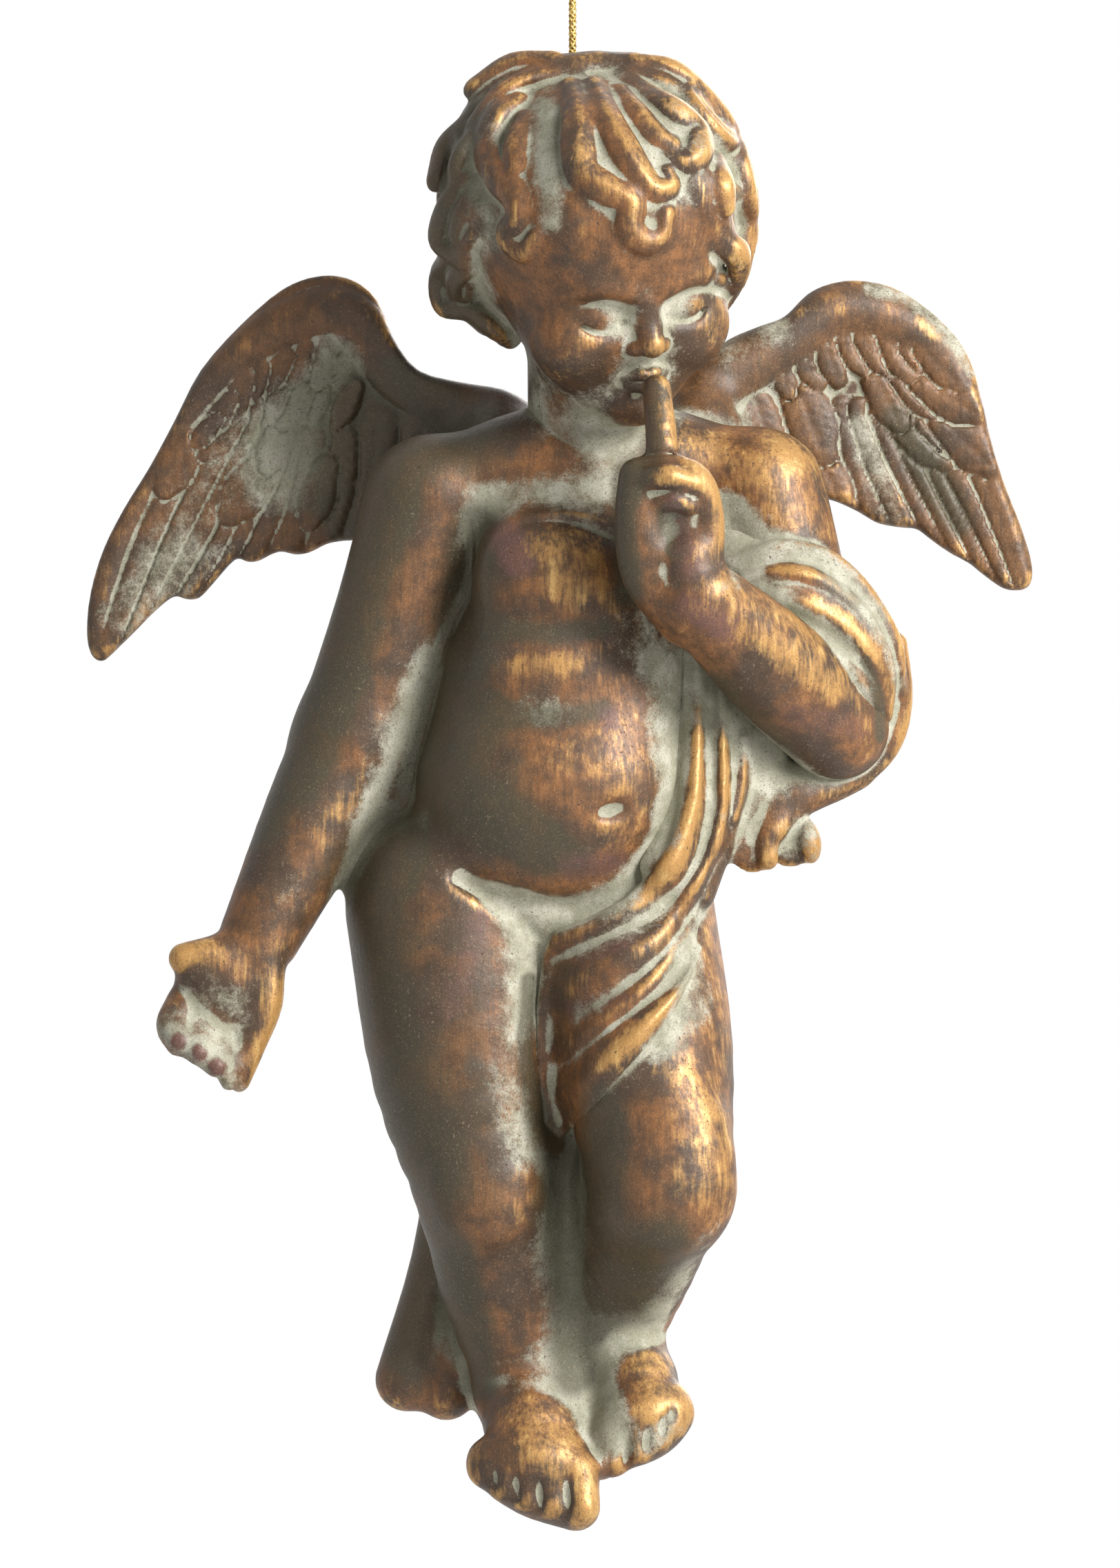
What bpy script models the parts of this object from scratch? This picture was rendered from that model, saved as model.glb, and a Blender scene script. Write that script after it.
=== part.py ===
"""A bronzed resin cherub hanging on a gold cord: castings pinned to a trunk, and the cord's pieces."""

import math
from typing import NamedTuple

import bmesh
import bpy
from mathutils import Euler, Matrix, Vector
from mathutils.bvhtree import BVHTree

MM = 0.001  # every size below is in millimetres

# The cord, from the loop over its hook down to the crown.
CORD_DIAMETER = 1.0
LOOP_HEIGHT = 28.0
LOOP_WIDTH = 14.0
LOOP_POINTS = 36
LOOP_END_SPREAD = 0.9
KNOT_TURNS = 3
KNOT_PITCH = 1.1
KNOT_CORE_RADIUS = 0.9
STEM_LENGTH = 11.0
STEM_POINTS = 6
CORD_GAP = 0.3
PLUG_RADIUS = 1.9
PLUG_DEPTH = 10.0
PLUG_DOME = 0.4

# How the castings are pinned and how close they sit.
GLUE_GAP = 0.7
PIN_CLEARANCE = 0.3
DOWEL_RADIUS = 1.5
DOWEL_LENGTH = 16.0
WING_PIN_RADIUS = 1.2
WING_PIN_LENGTH = 12.0
WING_PIN_SHIFT = Vector((0, -4.0, 0))
PIN_SIDES = 20

# How finely the castings are shaped.
MASS_VOXEL = 1.5
DETAIL_VOXEL = 1.1
MASS_SMOOTHING_COUNT = 9
DETAIL_SMOOTHING_COUNT = 2
CUTTER_VOXEL = 0.9
SLIVER = 0.02
TRIANGLES = {
    "body_casting": 2300,
    "head_casting": 2300,
    "right_arm_casting": 1000,
    "left_arm_casting": 1100,
    "sash_casting": 1500,
    "right_wing_casting": 900,
    "left_wing_casting": 900,
}

# How long the legs are from joint to joint, how long the feet, and how far each wing reaches from its root.
THIGH_LENGTH = 38.4
SHIN_LENGTH = 26.0
FOOT_LENGTH = 15.8
RIGHT_FOOT_WIDTH = 8.2
LEFT_FOOT_WIDTH = 6.4
RIGHT_WING_REACH = 54.0
LEFT_WING_REACH = 43.2

# Landmarks of the figure from the crown: x to the viewer's right, y away from the viewer, z up.
HEAD_CENTRE = Vector((3.2, -6.0, -21.0))
HEAD_PITCH = math.radians(28)
HEAD_YAW = math.radians(20)
HEAD_ROLL = math.radians(9)
SKULL_RADIUS = 19.0
NECK_BASE = Vector((2.5, 1.5, -53.0))
RIGHT_SHOULDER = Vector((-17.5, 1.5, -57.5))
LEFT_SHOULDER = Vector((23.5, 1.5, -56.5))
RIGHT_ELBOW = Vector((-28.8, 2.0, -90.0))
RIGHT_WRIST = Vector((-41.2, -4.0, -116.0))
RIGHT_PALM = Vector((-45.5, -6.5, -124.5))
LEFT_ELBOW = Vector((37.5, -3.0, -89.0))
LEFT_WRIST = Vector((16.5, -20.5, -72.0))
LEFT_PALM = Vector((12.8, -21.5, -63.5))
FINGERTIP = Vector((10.9, -20.5, -45.5))
RIGHT_HIP = Vector((-16.5, 0.0, -113.0))
RIGHT_KNEE = RIGHT_HIP + THIGH_LENGTH * Vector((0.13, -0.10, -0.99)).normalized()
RIGHT_ANKLE = RIGHT_KNEE + SHIN_LENGTH * Vector((0.16, 0.21, -0.96)).normalized()
RIGHT_TOES = RIGHT_ANKLE + FOOT_LENGTH * Vector((0.14, -0.72, -0.68)).normalized()
LEFT_HIP = Vector((7.0, 0.0, -113.0))
LEFT_KNEE = LEFT_HIP + THIGH_LENGTH * Vector((0.12, -0.27, -0.95)).normalized()
LEFT_ANKLE = LEFT_KNEE + SHIN_LENGTH * Vector((-0.23, 0.55, -0.80)).normalized()
LEFT_TOES = LEFT_ANKLE + FOOT_LENGTH * Vector((0.20, -0.69, -0.69)).normalized()

# Girths at those landmarks, as radii.
NECK_RADIUS = 9.0
SHOULDER_RADIUS = 9.4
ELBOW_RADIUS = 8.2
WRIST_RADIUS = 5.6
HIP_RADIUS = 14.6
KNEE_RADIUS = 9.2
ANKLE_RADIUS = 5.9
FINGER_RADIUS = 2.3
TOE_RADIUS = 2.2
CURL_RADIUS = 4.2
CURL_ROWS = ((70, 6, 0), (44, 13, 14), (18, 16, 0), (-8, 15, 12), (-32, 12, 0))  # elevation, count, start

# The sash's folds over the hip: a path in the front view, a radius and a lift off the skin.
HIP_FOLDS = (
    (((14.6, -82), (15.6, -92), (14.6, -101), (11.0, -108.5), (4.6, -115.0), (-2.6, -121.0)), 2.8, 1.6),
    (((17.6, -86), (18.6, -96), (17.0, -108), (11.0, -118.5), (4.0, -126.5), (-2.6, -133.5)), 2.8, 1.8),
    (((18.4, -103), (17.4, -115), (12.6, -125.5), (5.6, -134.0), (-0.6, -140.5)), 2.6, 1.4),
    (((0.5, -117), (-2.6, -124), (-3.6, -132), (-2.6, -141)), 3.6, 0.8),
    (((15.8, -88), (16.4, -102), (8.5, -115.5), (1.0, -124), (-2.0, -138)), 3.0, 0.4),
    (((18.0, -96), (17.6, -110), (12.6, -121), (6.0, -129.5), (-1.0, -137)), 3.0, 0.4),
)

# The wings, each a bowed fan of flattened feathers behind a rounded leading edge.
WING_THICKNESS = 0.62
WING_BOW = 5.0
FEATHER_RADIUS = 3.6


class Ball(NamedTuple):
    """An ellipsoid, turned by angles in degrees."""

    centre: tuple
    radii: tuple
    turn: tuple = (0, 0, 0)


class Limb(NamedTuple):
    """A chain of round cones through stations of x, y, z and radius."""

    stations: tuple


def station(point, radius, shift=(0, 0, 0)):
    """One station of a limb at a landmark, shifted by some millimetres."""
    return (*(Vector(point) + Vector(shift)), radius)


def between(first, second, share):
    """The point a share of the way from one landmark to the next."""
    return Vector(first).lerp(Vector(second), share)


def add_ball(bm, ball, matrix):
    """Adds an ellipsoid to the bmesh."""
    turn = Euler([math.radians(angle) for angle in ball.turn])
    place = Matrix.LocRotScale(Vector(ball.centre), turn, Vector(ball.radii))
    bmesh.ops.create_icosphere(bm, subdivisions=3, radius=1.0, matrix=matrix @ place)


def add_limb(bm, limb, matrix):
    """Adds each stretch of a limb as the hull of its two end balls."""
    for first, second in zip(limb.stations, limb.stations[1:]):
        stretch = bmesh.new()
        for x, y, z, radius in (first, second):
            place = matrix @ Matrix.Translation((x, y, z))
            bmesh.ops.create_icosphere(stretch, subdivisions=2, radius=radius, matrix=place)
        bmesh.ops.delete(stretch, geom=stretch.edges[:] + stretch.faces[:], context="EDGES_FACES")
        hull = bmesh.ops.convex_hull(stretch, input=stretch.verts)
        inner = [item for item in hull["geom_interior"] if isinstance(item, bmesh.types.BMVert)]
        bmesh.ops.delete(stretch, geom=inner, context="VERTS")
        mesh = bpy.data.meshes.new("stretch")
        stretch.to_mesh(mesh)
        stretch.free()
        bm.from_mesh(mesh)
        bpy.data.meshes.remove(mesh)


def add_forms(bm, forms, matrix=None):
    """Adds every ball and limb of a list, in the frame of a matrix."""
    frame = matrix or Matrix.Identity(4)
    for form in forms:
        add = add_ball if isinstance(form, Ball) else add_limb
        add(bm, form, frame)


def evaluated_mesh(obj):
    """A copy of the object's mesh with its modifiers worked in."""
    bpy.context.view_layer.update()
    graph = bpy.context.evaluated_depsgraph_get()
    return bpy.data.meshes.new_from_object(obj.evaluated_get(graph))


def settle(obj):
    """Works the object's modifiers into its mesh."""
    mesh = evaluated_mesh(obj)
    obj.modifiers.clear()
    obj.data = mesh


def new_object(name, bm):
    """A linked object made from a bmesh, which is freed."""
    mesh = bpy.data.meshes.new(name)
    bm.to_mesh(mesh)
    bm.free()
    obj = bpy.data.objects.new(name, mesh)
    bpy.context.collection.objects.link(obj)
    return obj


def fuse(obj, voxel, smoothing):
    """Fuses the object's overlapping forms into one skin and smooths it."""
    remesh = obj.modifiers.new("fuse", "REMESH")
    remesh.mode = "VOXEL"
    remesh.voxel_size = voxel
    smooth = obj.modifiers.new("smooth", "SMOOTH")
    smooth.factor = 0.5
    smooth.iterations = smoothing
    settle(obj)


def casting(name, masses, details, matrix=None):
    """A casting: broad masses softened together, then finer details fused on."""
    bm = bmesh.new()
    add_forms(bm, masses, matrix)
    obj = new_object(name, bm)
    fuse(obj, MASS_VOXEL, MASS_SMOOTHING_COUNT)
    bm = bmesh.new()
    bm.from_mesh(obj.data)
    add_forms(bm, details, matrix)
    bm.to_mesh(obj.data)
    bm.free()
    fuse(obj, DETAIL_VOXEL, DETAIL_SMOOTHING_COUNT)
    return obj


def keep_largest_shell(obj):
    """Drops the crumbs that a cut can leave beside the main body."""
    bm = bmesh.new()
    bm.from_mesh(obj.data)
    bm.verts.ensure_lookup_table()
    waiting = set(bm.verts)
    shells = []
    while waiting:
        shell = {waiting.pop()}
        edge_of_shell = list(shell)
        while edge_of_shell:
            vert = edge_of_shell.pop()
            for edge in vert.link_edges:
                other = edge.other_vert(vert)
                if other in waiting:
                    waiting.remove(other)
                    shell.add(other)
                    edge_of_shell.append(other)
        shells.append(shell)
    shells.sort(key=len)
    crumbs = [vert for shell in shells[:-1] for vert in shell]
    bmesh.ops.delete(bm, geom=crumbs, context="VERTS")
    bm.to_mesh(obj.data)
    bm.free()


def weld_slivers(obj):
    """Welds the hair-thin faces that a cut leaves."""
    bm = bmesh.new()
    bm.from_mesh(obj.data)
    bmesh.ops.remove_doubles(bm, verts=bm.verts, dist=SLIVER)
    bmesh.ops.dissolve_degenerate(bm, dist=SLIVER, edges=bm.edges)
    bmesh.ops.triangulate(bm, faces=bm.faces)
    bm.to_mesh(obj.data)
    bm.free()


def cut(obj, cutter):
    """Cuts one closed object out of another."""
    boolean = obj.modifiers.new("cut", "BOOLEAN")
    boolean.operation = "DIFFERENCE"
    boolean.solver = "EXACT"
    boolean.object = cutter
    settle(obj)
    weld_slivers(obj)


def grown_copy(obj, gap):
    """A copy of a casting swollen by the glue gap, to cut its neighbours with."""
    bm = bmesh.new()
    bm.from_mesh(obj.data)
    bm.normal_update()
    for vert in bm.verts:
        vert.co += vert.normal * gap
    copy = new_object(obj.name + "_swollen", bm)
    fuse(copy, CUTTER_VOXEL, 0)
    return copy


def skin_of(obj):
    """A casting's surface, for laying other forms on it."""
    bm = bmesh.new()
    bm.from_mesh(obj.data)
    skin = BVHTree.FromBMesh(bm)
    bm.free()
    return skin


def remove(obj):
    """Removes a helper object."""
    bpy.data.objects.remove(obj)


def clear_of(obj, others, gap):
    """Cuts a casting clear of its neighbours by a gap."""
    for other in others:
        if boxes_meet(obj, other):
            cutter = grown_copy(other, gap)
            cut(obj, cutter)
            remove(cutter)


def fit_together(castings):
    """Trims each casting clear of those before it in the list, and thins out its mesh."""
    for index, obj in enumerate(castings):
        clear_of(obj, castings[:index], GLUE_GAP)
        fuse(obj, DETAIL_VOXEL, 1)
        keep_largest_shell(obj)
        thin_out(obj, TRIANGLES[obj.name])


def boxes_meet(first, second):
    """Whether two objects' boxes come within the glue gap of each other."""
    for axis in range(3):
        spans = []
        for obj in (first, second):
            values = [vert.co[axis] for vert in obj.data.vertices]
            spans.append((min(values), max(values)))
        if spans[0][1] + GLUE_GAP < spans[1][0] or spans[1][1] + GLUE_GAP < spans[0][0]:
            return False
    return True


def thin_out(obj, triangles):
    """Reduces a casting's mesh to about so many triangles."""
    obj.data.calc_loop_triangles()
    reduce = obj.modifiers.new("thin_out", "DECIMATE")
    reduce.ratio = min(1.0, triangles / len(obj.data.loop_triangles))
    reduce.use_collapse_triangulate = True
    settle(obj)


def rod(name, centre, axis, radius, length, sides=PIN_SIDES):
    """A plain round rod about a centre along an axis."""
    bm = bmesh.new()
    turn = Vector((0, 0, 1)).rotation_difference(Vector(axis)).to_matrix().to_4x4()
    place = Matrix.Translation(centre) @ turn
    bmesh.ops.create_cone(
        bm, cap_ends=True, segments=sides, radius1=radius, radius2=radius, depth=length, matrix=place
    )
    return new_object(name, bm)


def pinned(name, centre, axis, radius, length, castings):
    """A pin, with a socket drilled for it in each casting it joins."""
    drill = rod(name + "_drill", centre, axis, radius + PIN_CLEARANCE, length + 2 * PIN_CLEARANCE)
    for obj in castings:
        cut(obj, drill)
    remove(drill)
    return rod(name, centre, axis, radius, length)


def head_frame():
    """The frame of the bowed and turned head."""
    turn = Matrix.Rotation(-HEAD_ROLL, 4, "Y")
    turn = turn @ Matrix.Rotation(HEAD_YAW, 4, "Z")
    turn = turn @ Matrix.Rotation(HEAD_PITCH, 4, "X")
    return Matrix.Translation(HEAD_CENTRE) @ turn


def both_sides(x, y, z, radii):
    """A ball and its mirror image across the middle of the face."""
    return [Ball((side * x, y, z), radii) for side in (-1, 1)]


def head_masses():
    """The skull, the full cheeks and the chin, before the head is bowed."""
    skull = SKULL_RADIUS
    forms = [
        Ball((0, 0, 0), (skull * 0.95, skull * 1.04, skull * 0.97)),
        Ball((0, -7.5, -11), (13.6, 11.5, 12.5)),
        Ball((0, -8, 3), (14.5, 11.2, 12)),
        Ball((0, -16, -19), (4.4, 4.2, 4.2)),
        Ball((0, -10, -19), (9, 8, 6)),
    ]
    forms += both_sides(7.6, -13.2, -11.5, (6.6, 6.2, 6.4))
    return forms


def head_details():
    """The brows, eyes, nose and lips."""
    forms = [
        Limb(((0, -18.6, -3.5, 1.7), (0, -21.2, -9.2, 2.3))),
        Limb(((-2.8, -18.6, -14.2, 1.0), (0, -20.0, -13.6, 1.3), (2.8, -18.6, -14.2, 1.0))),
        Limb(((-2.2, -18.4, -15.8, 1.0), (0, -19.4, -16.2, 1.4), (2.2, -18.4, -15.8, 1.0))),
    ]
    forms += both_sides(1.9, -19.8, -9.8, (1.5, 1.5, 1.3))
    forms += both_sides(6.4, -16.2, -5.2, (3.2, 2.4, 2.2))
    for side in (-1, 1):
        brow = ((side * 2.4, -18.9, -1.6, 1.2), (side * 7, -17.6, 0.2, 1.4), (side * 11, -14.0, -1.2, 1.2))
        forms.append(Limb(brow))
    return forms


def on_scalp(x, z, lift):
    """A point on the front of the scalp at a place in the front view, raised by a lift."""
    radius = SKULL_RADIUS + lift
    across = x - HEAD_CENTRE.x
    up = z - HEAD_CENTRE.z
    reach = math.hypot(across, up)
    shrink = min(1.0, radius * 0.995 / max(reach, 0.001))
    depth = math.sqrt(max(0.0, radius**2 - (reach * shrink) ** 2))
    return HEAD_CENTRE + Vector((across * shrink, -depth, up * shrink))


def front_lock(path, first_radius, last_radius, lift=1.2):
    """A lock of hair along a path in the front view, tapering to its end."""
    stations = []
    for index, (x, z) in enumerate(path):
        share = index / (len(path) - 1)
        radius = first_radius + (last_radius - first_radius) * share
        stations.append(station(on_scalp(x, z, lift), radius))
    return Limb(tuple(stations))


def hair():
    """The crest and forelocks in front, and rows of curls over the sides and the back."""
    forms = [
        front_lock(((0.5, -2.0), (2.6, -6.5), (3.6, -11.5), (5.7, -15.6), (8.8, -18.7)), 4.0, 3.0),
        front_lock(((8.8, -18.7), (11.4, -20.4), (11.2, -23.2), (8.8, -24.8)), 2.4, 1.9, 2.0),
        front_lock(((6.2, -3.0), (9.4, -7.8), (12.5, -12.0), (15.8, -13.6)), 3.6, 3.2),
        front_lock(((15.8, -13.6), (18.7, -14.8), (19.2, -19.2)), 2.8, 2.0),
        front_lock(((-6.0, -3.0), (-9.6, -8.0), (-9.6, -13.6), (-8.0, -19.8)), 3.6, 2.9),
        front_lock(((-8.0, -19.8), (-8.6, -23.4), (-6.2, -25.4)), 2.5, 1.9, 1.8),
        front_lock(((-11.5, -5.0), (-15.0, -9.5), (-16.4, -14.6)), 4.0, 3.6),
        front_lock(((-16.4, -14.6), (-17.6, -20.0), (-16.0, -25.0)), 3.8, 3.0),
        front_lock(((-15.6, -24.0), (-16.6, -28.5), (-13.6, -31.5)), 3.2, 2.8, 2.4),
        front_lock(((-12.6, -30.0), (-11.0, -33.5), (-8.4, -35.0)), 3.0, 2.6, 1.4),
        front_lock(((14.0, -5.0), (18.2, -9.5), (20.2, -14.5)), 3.6, 3.0, 0.4),
        front_lock(((20.4, -15.0), (22.0, -19.5), (21.0, -22.5)), 2.8, 2.6, 0.8),
        front_lock(((20.6, -24.0), (21.0, -28.0), (19.0, -29.8)), 2.6, 2.2),
    ]
    for elevation, count, start in CURL_ROWS:
        for index in range(count):
            azimuth = start + 360 * index / count
            level = math.radians(elevation)
            around = math.radians(azimuth)
            outward = Vector((math.cos(level) * math.cos(around), math.cos(level) * math.sin(around), math.sin(level)))
            if outward.y < -0.35:
                continue
            centre = HEAD_CENTRE + outward * (SKULL_RADIUS - 0.6)
            forms.append(Ball(tuple(centre), (CURL_RADIUS,) * 3))
    forms.append(Ball((0, 0, -CURL_RADIUS - 0.6), (CURL_RADIUS,) * 3))
    return forms


def neck():
    """The short neck between the head and the trunk."""
    return [Limb((station(HEAD_CENTRE, NECK_RADIUS, (-1, 5, -14)), station(NECK_BASE, NECK_RADIUS)))]


def trunk_masses():
    """The chest, belly, hips and legs."""
    right_calf = between(RIGHT_KNEE, RIGHT_ANKLE, 0.4)
    left_calf = between(LEFT_KNEE, LEFT_ANKLE, 0.45)
    return [
        Ball((3.5, 1.5, -67), (16.5, 12.5, 16)),
        Limb((station(RIGHT_SHOULDER, 7.6), station(NECK_BASE, 9.0), station(LEFT_SHOULDER, 7.6))),
        Ball((0.5, 0, -82), (16.2, 12.5, 15)),
        Ball((-3.6, -3.0, -96), (17.6, 14.5, 14.5)),
        Ball((-5.5, 1.5, -109), (23.0, 14.5, 13)),
        Ball((-15.5, 8, -113), (12.0, 10, 12)),
        Ball((4.5, 8, -113), (11.5, 10, 12)),
        Limb((
            station(between(RIGHT_HIP, LEFT_HIP, 0.5), 8.0, (0.8, 2.0, -5.0)),
            station(between(RIGHT_KNEE, LEFT_KNEE, 0.5), 7.0, (-1.6, 9.2, 8.2)),
            station(between(RIGHT_KNEE, LEFT_KNEE, 0.5), 5.5, (-1.1, 10.2, -9.8)),
            station(between(RIGHT_ANKLE, LEFT_ANKLE, 0.5), 4.2, (0.3, 1.2, -8.8)),
        )),
        Limb((
            station(RIGHT_HIP, HIP_RADIUS),
            station(between(RIGHT_HIP, RIGHT_KNEE, 0.55), 12.6, (-0.9, -0.5, 0)),
            station(RIGHT_KNEE, KNEE_RADIUS),
        )),
        Limb((
            station(LEFT_HIP, HIP_RADIUS - 2.0),
            station(between(LEFT_HIP, LEFT_KNEE, 0.5), 12.2, (0.2, -0.5, 0)),
            station(LEFT_KNEE, KNEE_RADIUS + 0.7),
        )),
        Limb((
            station(RIGHT_KNEE, KNEE_RADIUS - 0.3),
            station(right_calf, 8.8, (0, 2.0, 0)),
            station(RIGHT_ANKLE, ANKLE_RADIUS),
        )),
        Limb((
            station(LEFT_KNEE, KNEE_RADIUS),
            station(left_calf, 8.0, (0, 1.5, 0)),
            station(LEFT_ANKLE, ANKLE_RADIUS),
        )),
    ]


def foot(ankle, toe_line, width, spread):
    """A foot that points down and forward, with five toes from the big one outward."""
    ball = Vector(toe_line)
    heel = Vector(ankle) + Vector((0, 4.0, -4.5))
    forms = [
        Limb((station(ankle, ANKLE_RADIUS), station(heel, ANKLE_RADIUS - 0.8), station(ball, 4.2, (0, 3, 0.5)))),
        Limb((station(ankle, ANKLE_RADIUS - 0.4), station(between(ankle, ball, 0.6), 5.4), station(ball, 4.6))),
        Ball(tuple(ball), (width, 4.8, 4.4), (35, 0, 0)),
    ]
    for toe in range(5):
        share = toe / 4
        radius = TOE_RADIUS * (1.25 - 0.42 * share)
        root = ball + Vector((spread * (0.5 - share) * 2 * (width - 1.5), -1.5, -1.8 + 1.6 * share))
        tip = root + Vector((0, -4.2 + 0.9 * share, -3.0 + 1.4 * share))
        forms.append(Limb((station(root, radius), station(tip, radius))))
    return forms


def trunk_details():
    """The breasts, feet and the cloth that falls behind the calves."""
    forms = [
        Ball((-6.0, -8.4, -67), (8.2, 4.6, 6.2)),
        Ball((11.5, -8.2, -65.5), (8.2, 4.6, 6.2)),
    ]
    for fold in range(3):
        shift = 8.0 * fold
        forms.append(Limb((
            station(RIGHT_HIP, 6.5, (10.5 + 0.6 * shift, 9.0, -7.0)),
            station(RIGHT_KNEE, 6.2, (-1.1 + 0.8 * shift, 14.5, 9.0)),
            station(RIGHT_KNEE, 5.8, (-6.6 + 0.9 * shift, 13.5, -9.0)),
            station(RIGHT_ANKLE, 5.8, (-13.0 + shift, 7.0, 1.4 - 0.6 * fold)),
        )))
    forms += foot(RIGHT_ANKLE, RIGHT_TOES, RIGHT_FOOT_WIDTH, 1)
    forms += foot(LEFT_ANKLE, LEFT_TOES, LEFT_FOOT_WIDTH, -1)
    return forms


def hand_frame(palm, turn):
    """The frame of a hand about its palm, turned by angles in degrees."""
    angles = Euler([math.radians(angle) for angle in turn])
    return Matrix.LocRotScale(Vector(palm), angles, None)


def placed(forms, matrix):
    """Balls and limbs carried into another frame, with balls kept round about their own axes."""
    moved = []
    for form in forms:
        if isinstance(form, Limb):
            stations = [(*(matrix @ Vector(stop[:3])), stop[3]) for stop in form.stations]
            moved.append(Limb(tuple(stations)))
        else:
            own = Euler([math.radians(angle) for angle in form.turn]).to_matrix()
            turn = (matrix.to_3x3() @ own).to_euler()
            centre = matrix @ Vector(form.centre)
            moved.append(Ball(tuple(centre), form.radii, tuple(math.degrees(angle) for angle in turn)))
    return moved


def right_arm():
    """The hanging arm and its open hand, palm to the front and fingers curled."""
    upper = Limb((
        station(RIGHT_SHOULDER, SHOULDER_RADIUS, (-1.5, 0, -1)),
        station(between(RIGHT_SHOULDER, RIGHT_ELBOW, 0.5), 8.4, (-0.6, 0, 0)),
        station(RIGHT_ELBOW, ELBOW_RADIUS + 0.6),
    ))
    lower = Limb((
        station(RIGHT_ELBOW, ELBOW_RADIUS + 0.3),
        station(between(RIGHT_ELBOW, RIGHT_WRIST, 0.4), 7.6),
        station(RIGHT_WRIST, WRIST_RADIUS),
    ))
    web = Limb((
        station(between(RIGHT_SHOULDER, RIGHT_ELBOW, 0.3), 6.0, (4.5, 1, 0)),
        station(RIGHT_ELBOW, 6.0, (6.0, 2, 0)),
        station(between(RIGHT_ELBOW, RIGHT_WRIST, 0.35), 4.5, (5.0, 2, 0)),
    ))
    hand = [
        Ball((0, 0, -0.5), (7.2, 3.8, 7.6)),
        Limb(((-3.5, -1, 4.0, 3.2), (-7.0, -2.0, 2.6, 2.8), (-9.8, -2.6, 1.6, 2.2))),
        Limb(((4.0, -0.5, 4.0, 3.6), (4.5, -1.2, -1.0, 3.2))),
    ]
    for finger in range(4):
        across = -5.0 + 3.5 * finger
        length = (0.2, 0.8, 0.6, -0.4)[finger]
        hand.append(Limb((
            (across, -0.8, -5.0, FINGER_RADIUS),
            (across, -3.6, -8.6 - length, FINGER_RADIUS),
            (across, -6.8, -9.2 - length, FINGER_RADIUS - 0.4),
        )))
    return [upper, lower, web], placed(hand, hand_frame(RIGHT_PALM, (-8, 35, 0)))


def left_arm():
    """The raised arm, its fist and the finger at the lips."""
    upper = Limb((
        station(LEFT_SHOULDER, SHOULDER_RADIUS, (1.5, 0, -1)),
        station(between(LEFT_SHOULDER, LEFT_ELBOW, 0.5), 8.2),
        station(LEFT_ELBOW, ELBOW_RADIUS),
    ))
    lower = Limb((
        station(LEFT_ELBOW, ELBOW_RADIUS + 0.2),
        station(between(LEFT_ELBOW, LEFT_WRIST, 0.45), 7.8),
        station(LEFT_WRIST, WRIST_RADIUS + 0.4),
    ))
    knuckle = between(LEFT_PALM, FINGERTIP, 0.42)
    fist = [
        Ball(tuple(LEFT_PALM), (6.0, 4.8, 8.0), (0, -12, 0)),
        Limb((station(LEFT_PALM, 3.4), station(knuckle, FINGER_RADIUS + 0.4), station(FINGERTIP, FINGER_RADIUS))),
    ]
    for finger in range(3):
        drop = 3.5 * finger
        fist.append(Limb((
            station(LEFT_PALM, FINGER_RADIUS, (5.0 - 0.6 * finger, 0.5, 4.5 - drop)),
            station(LEFT_PALM, FINGER_RADIUS, (3.6 - 0.6 * finger, -4.6, 5.2 - drop)),
            station(LEFT_PALM, FINGER_RADIUS - 0.3, (-2.4, -4.4, 4.6 - drop)),
        )))
    return [upper, lower], fist


def on_skin(skin, x, z, lift):
    """The point on the front of a casting at a place in the front view, raised by a lift."""
    front = Vector((x, -100, z))
    place = skin.ray_cast(front, Vector((0, 1, 0)))[0] or skin.find_nearest(Vector((x, 0, z)))[0]
    return place + Vector((0, -lift, 0))


def sash(skin):
    """The cloth: slung round the raised arm, folded across the hip, and its hanging end."""
    sling = []
    for fold in range(4):
        drop = 6.2 * fold
        sling.append(Limb((
            (21.0 + 0.6 * fold, -9.0, -70.0 - drop, 2.2),
            (34.5 + 1.2 * fold, -9.0 - 0.6 * fold, -71.5 - drop, 2.6),
            (42.0 + 0.6 * fold, -3.5, -77.0 - 0.9 * drop, 2.8),
            (41.0 + 0.6 * fold, 4.5, -79.0 - 0.8 * drop, 2.8),
            (32.5, 9.0, -82.0 - 0.6 * drop, 2.8),
            (18.5, 9.5, -86.0 - 0.35 * drop, 2.8),
        )))
    under = [
        Limb(((41.5, 3.0, -95.5, 2.8), (36.0, -6.0, -98.5, 2.8), (27.0, -6.0, -97.5, 3.2), (18.0, -7.0, -92.0, 3.4))),
        Limb(((36.0, 5.0, -97.0, 3.0), (28.0, 3.0, -100.0, 3.2), (20.0, 2.0, -98.0, 4.0))),
        Limb(((31.0, -3.0, -97.0, 4.4), (21.0, -5.0, -93.5, 5.0), (17.0, -6.0, -99.0, 4.6))),
        Limb(((24.0, -3.0, -98.0, 3.2), (24.5, -4.0, -104.5, 3.0))),
        Limb(((28.5, -2.0, -99.0, 3.0), (30.5, -3.5, -104.5, 2.6))),
    ]
    hip = []
    for path, radius, lift in HIP_FOLDS:
        stations = [station(on_skin(skin, x, z, lift), radius) for x, z in path]
        hip.append(Limb(tuple(stations)))
    return sling + under + hip


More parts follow.
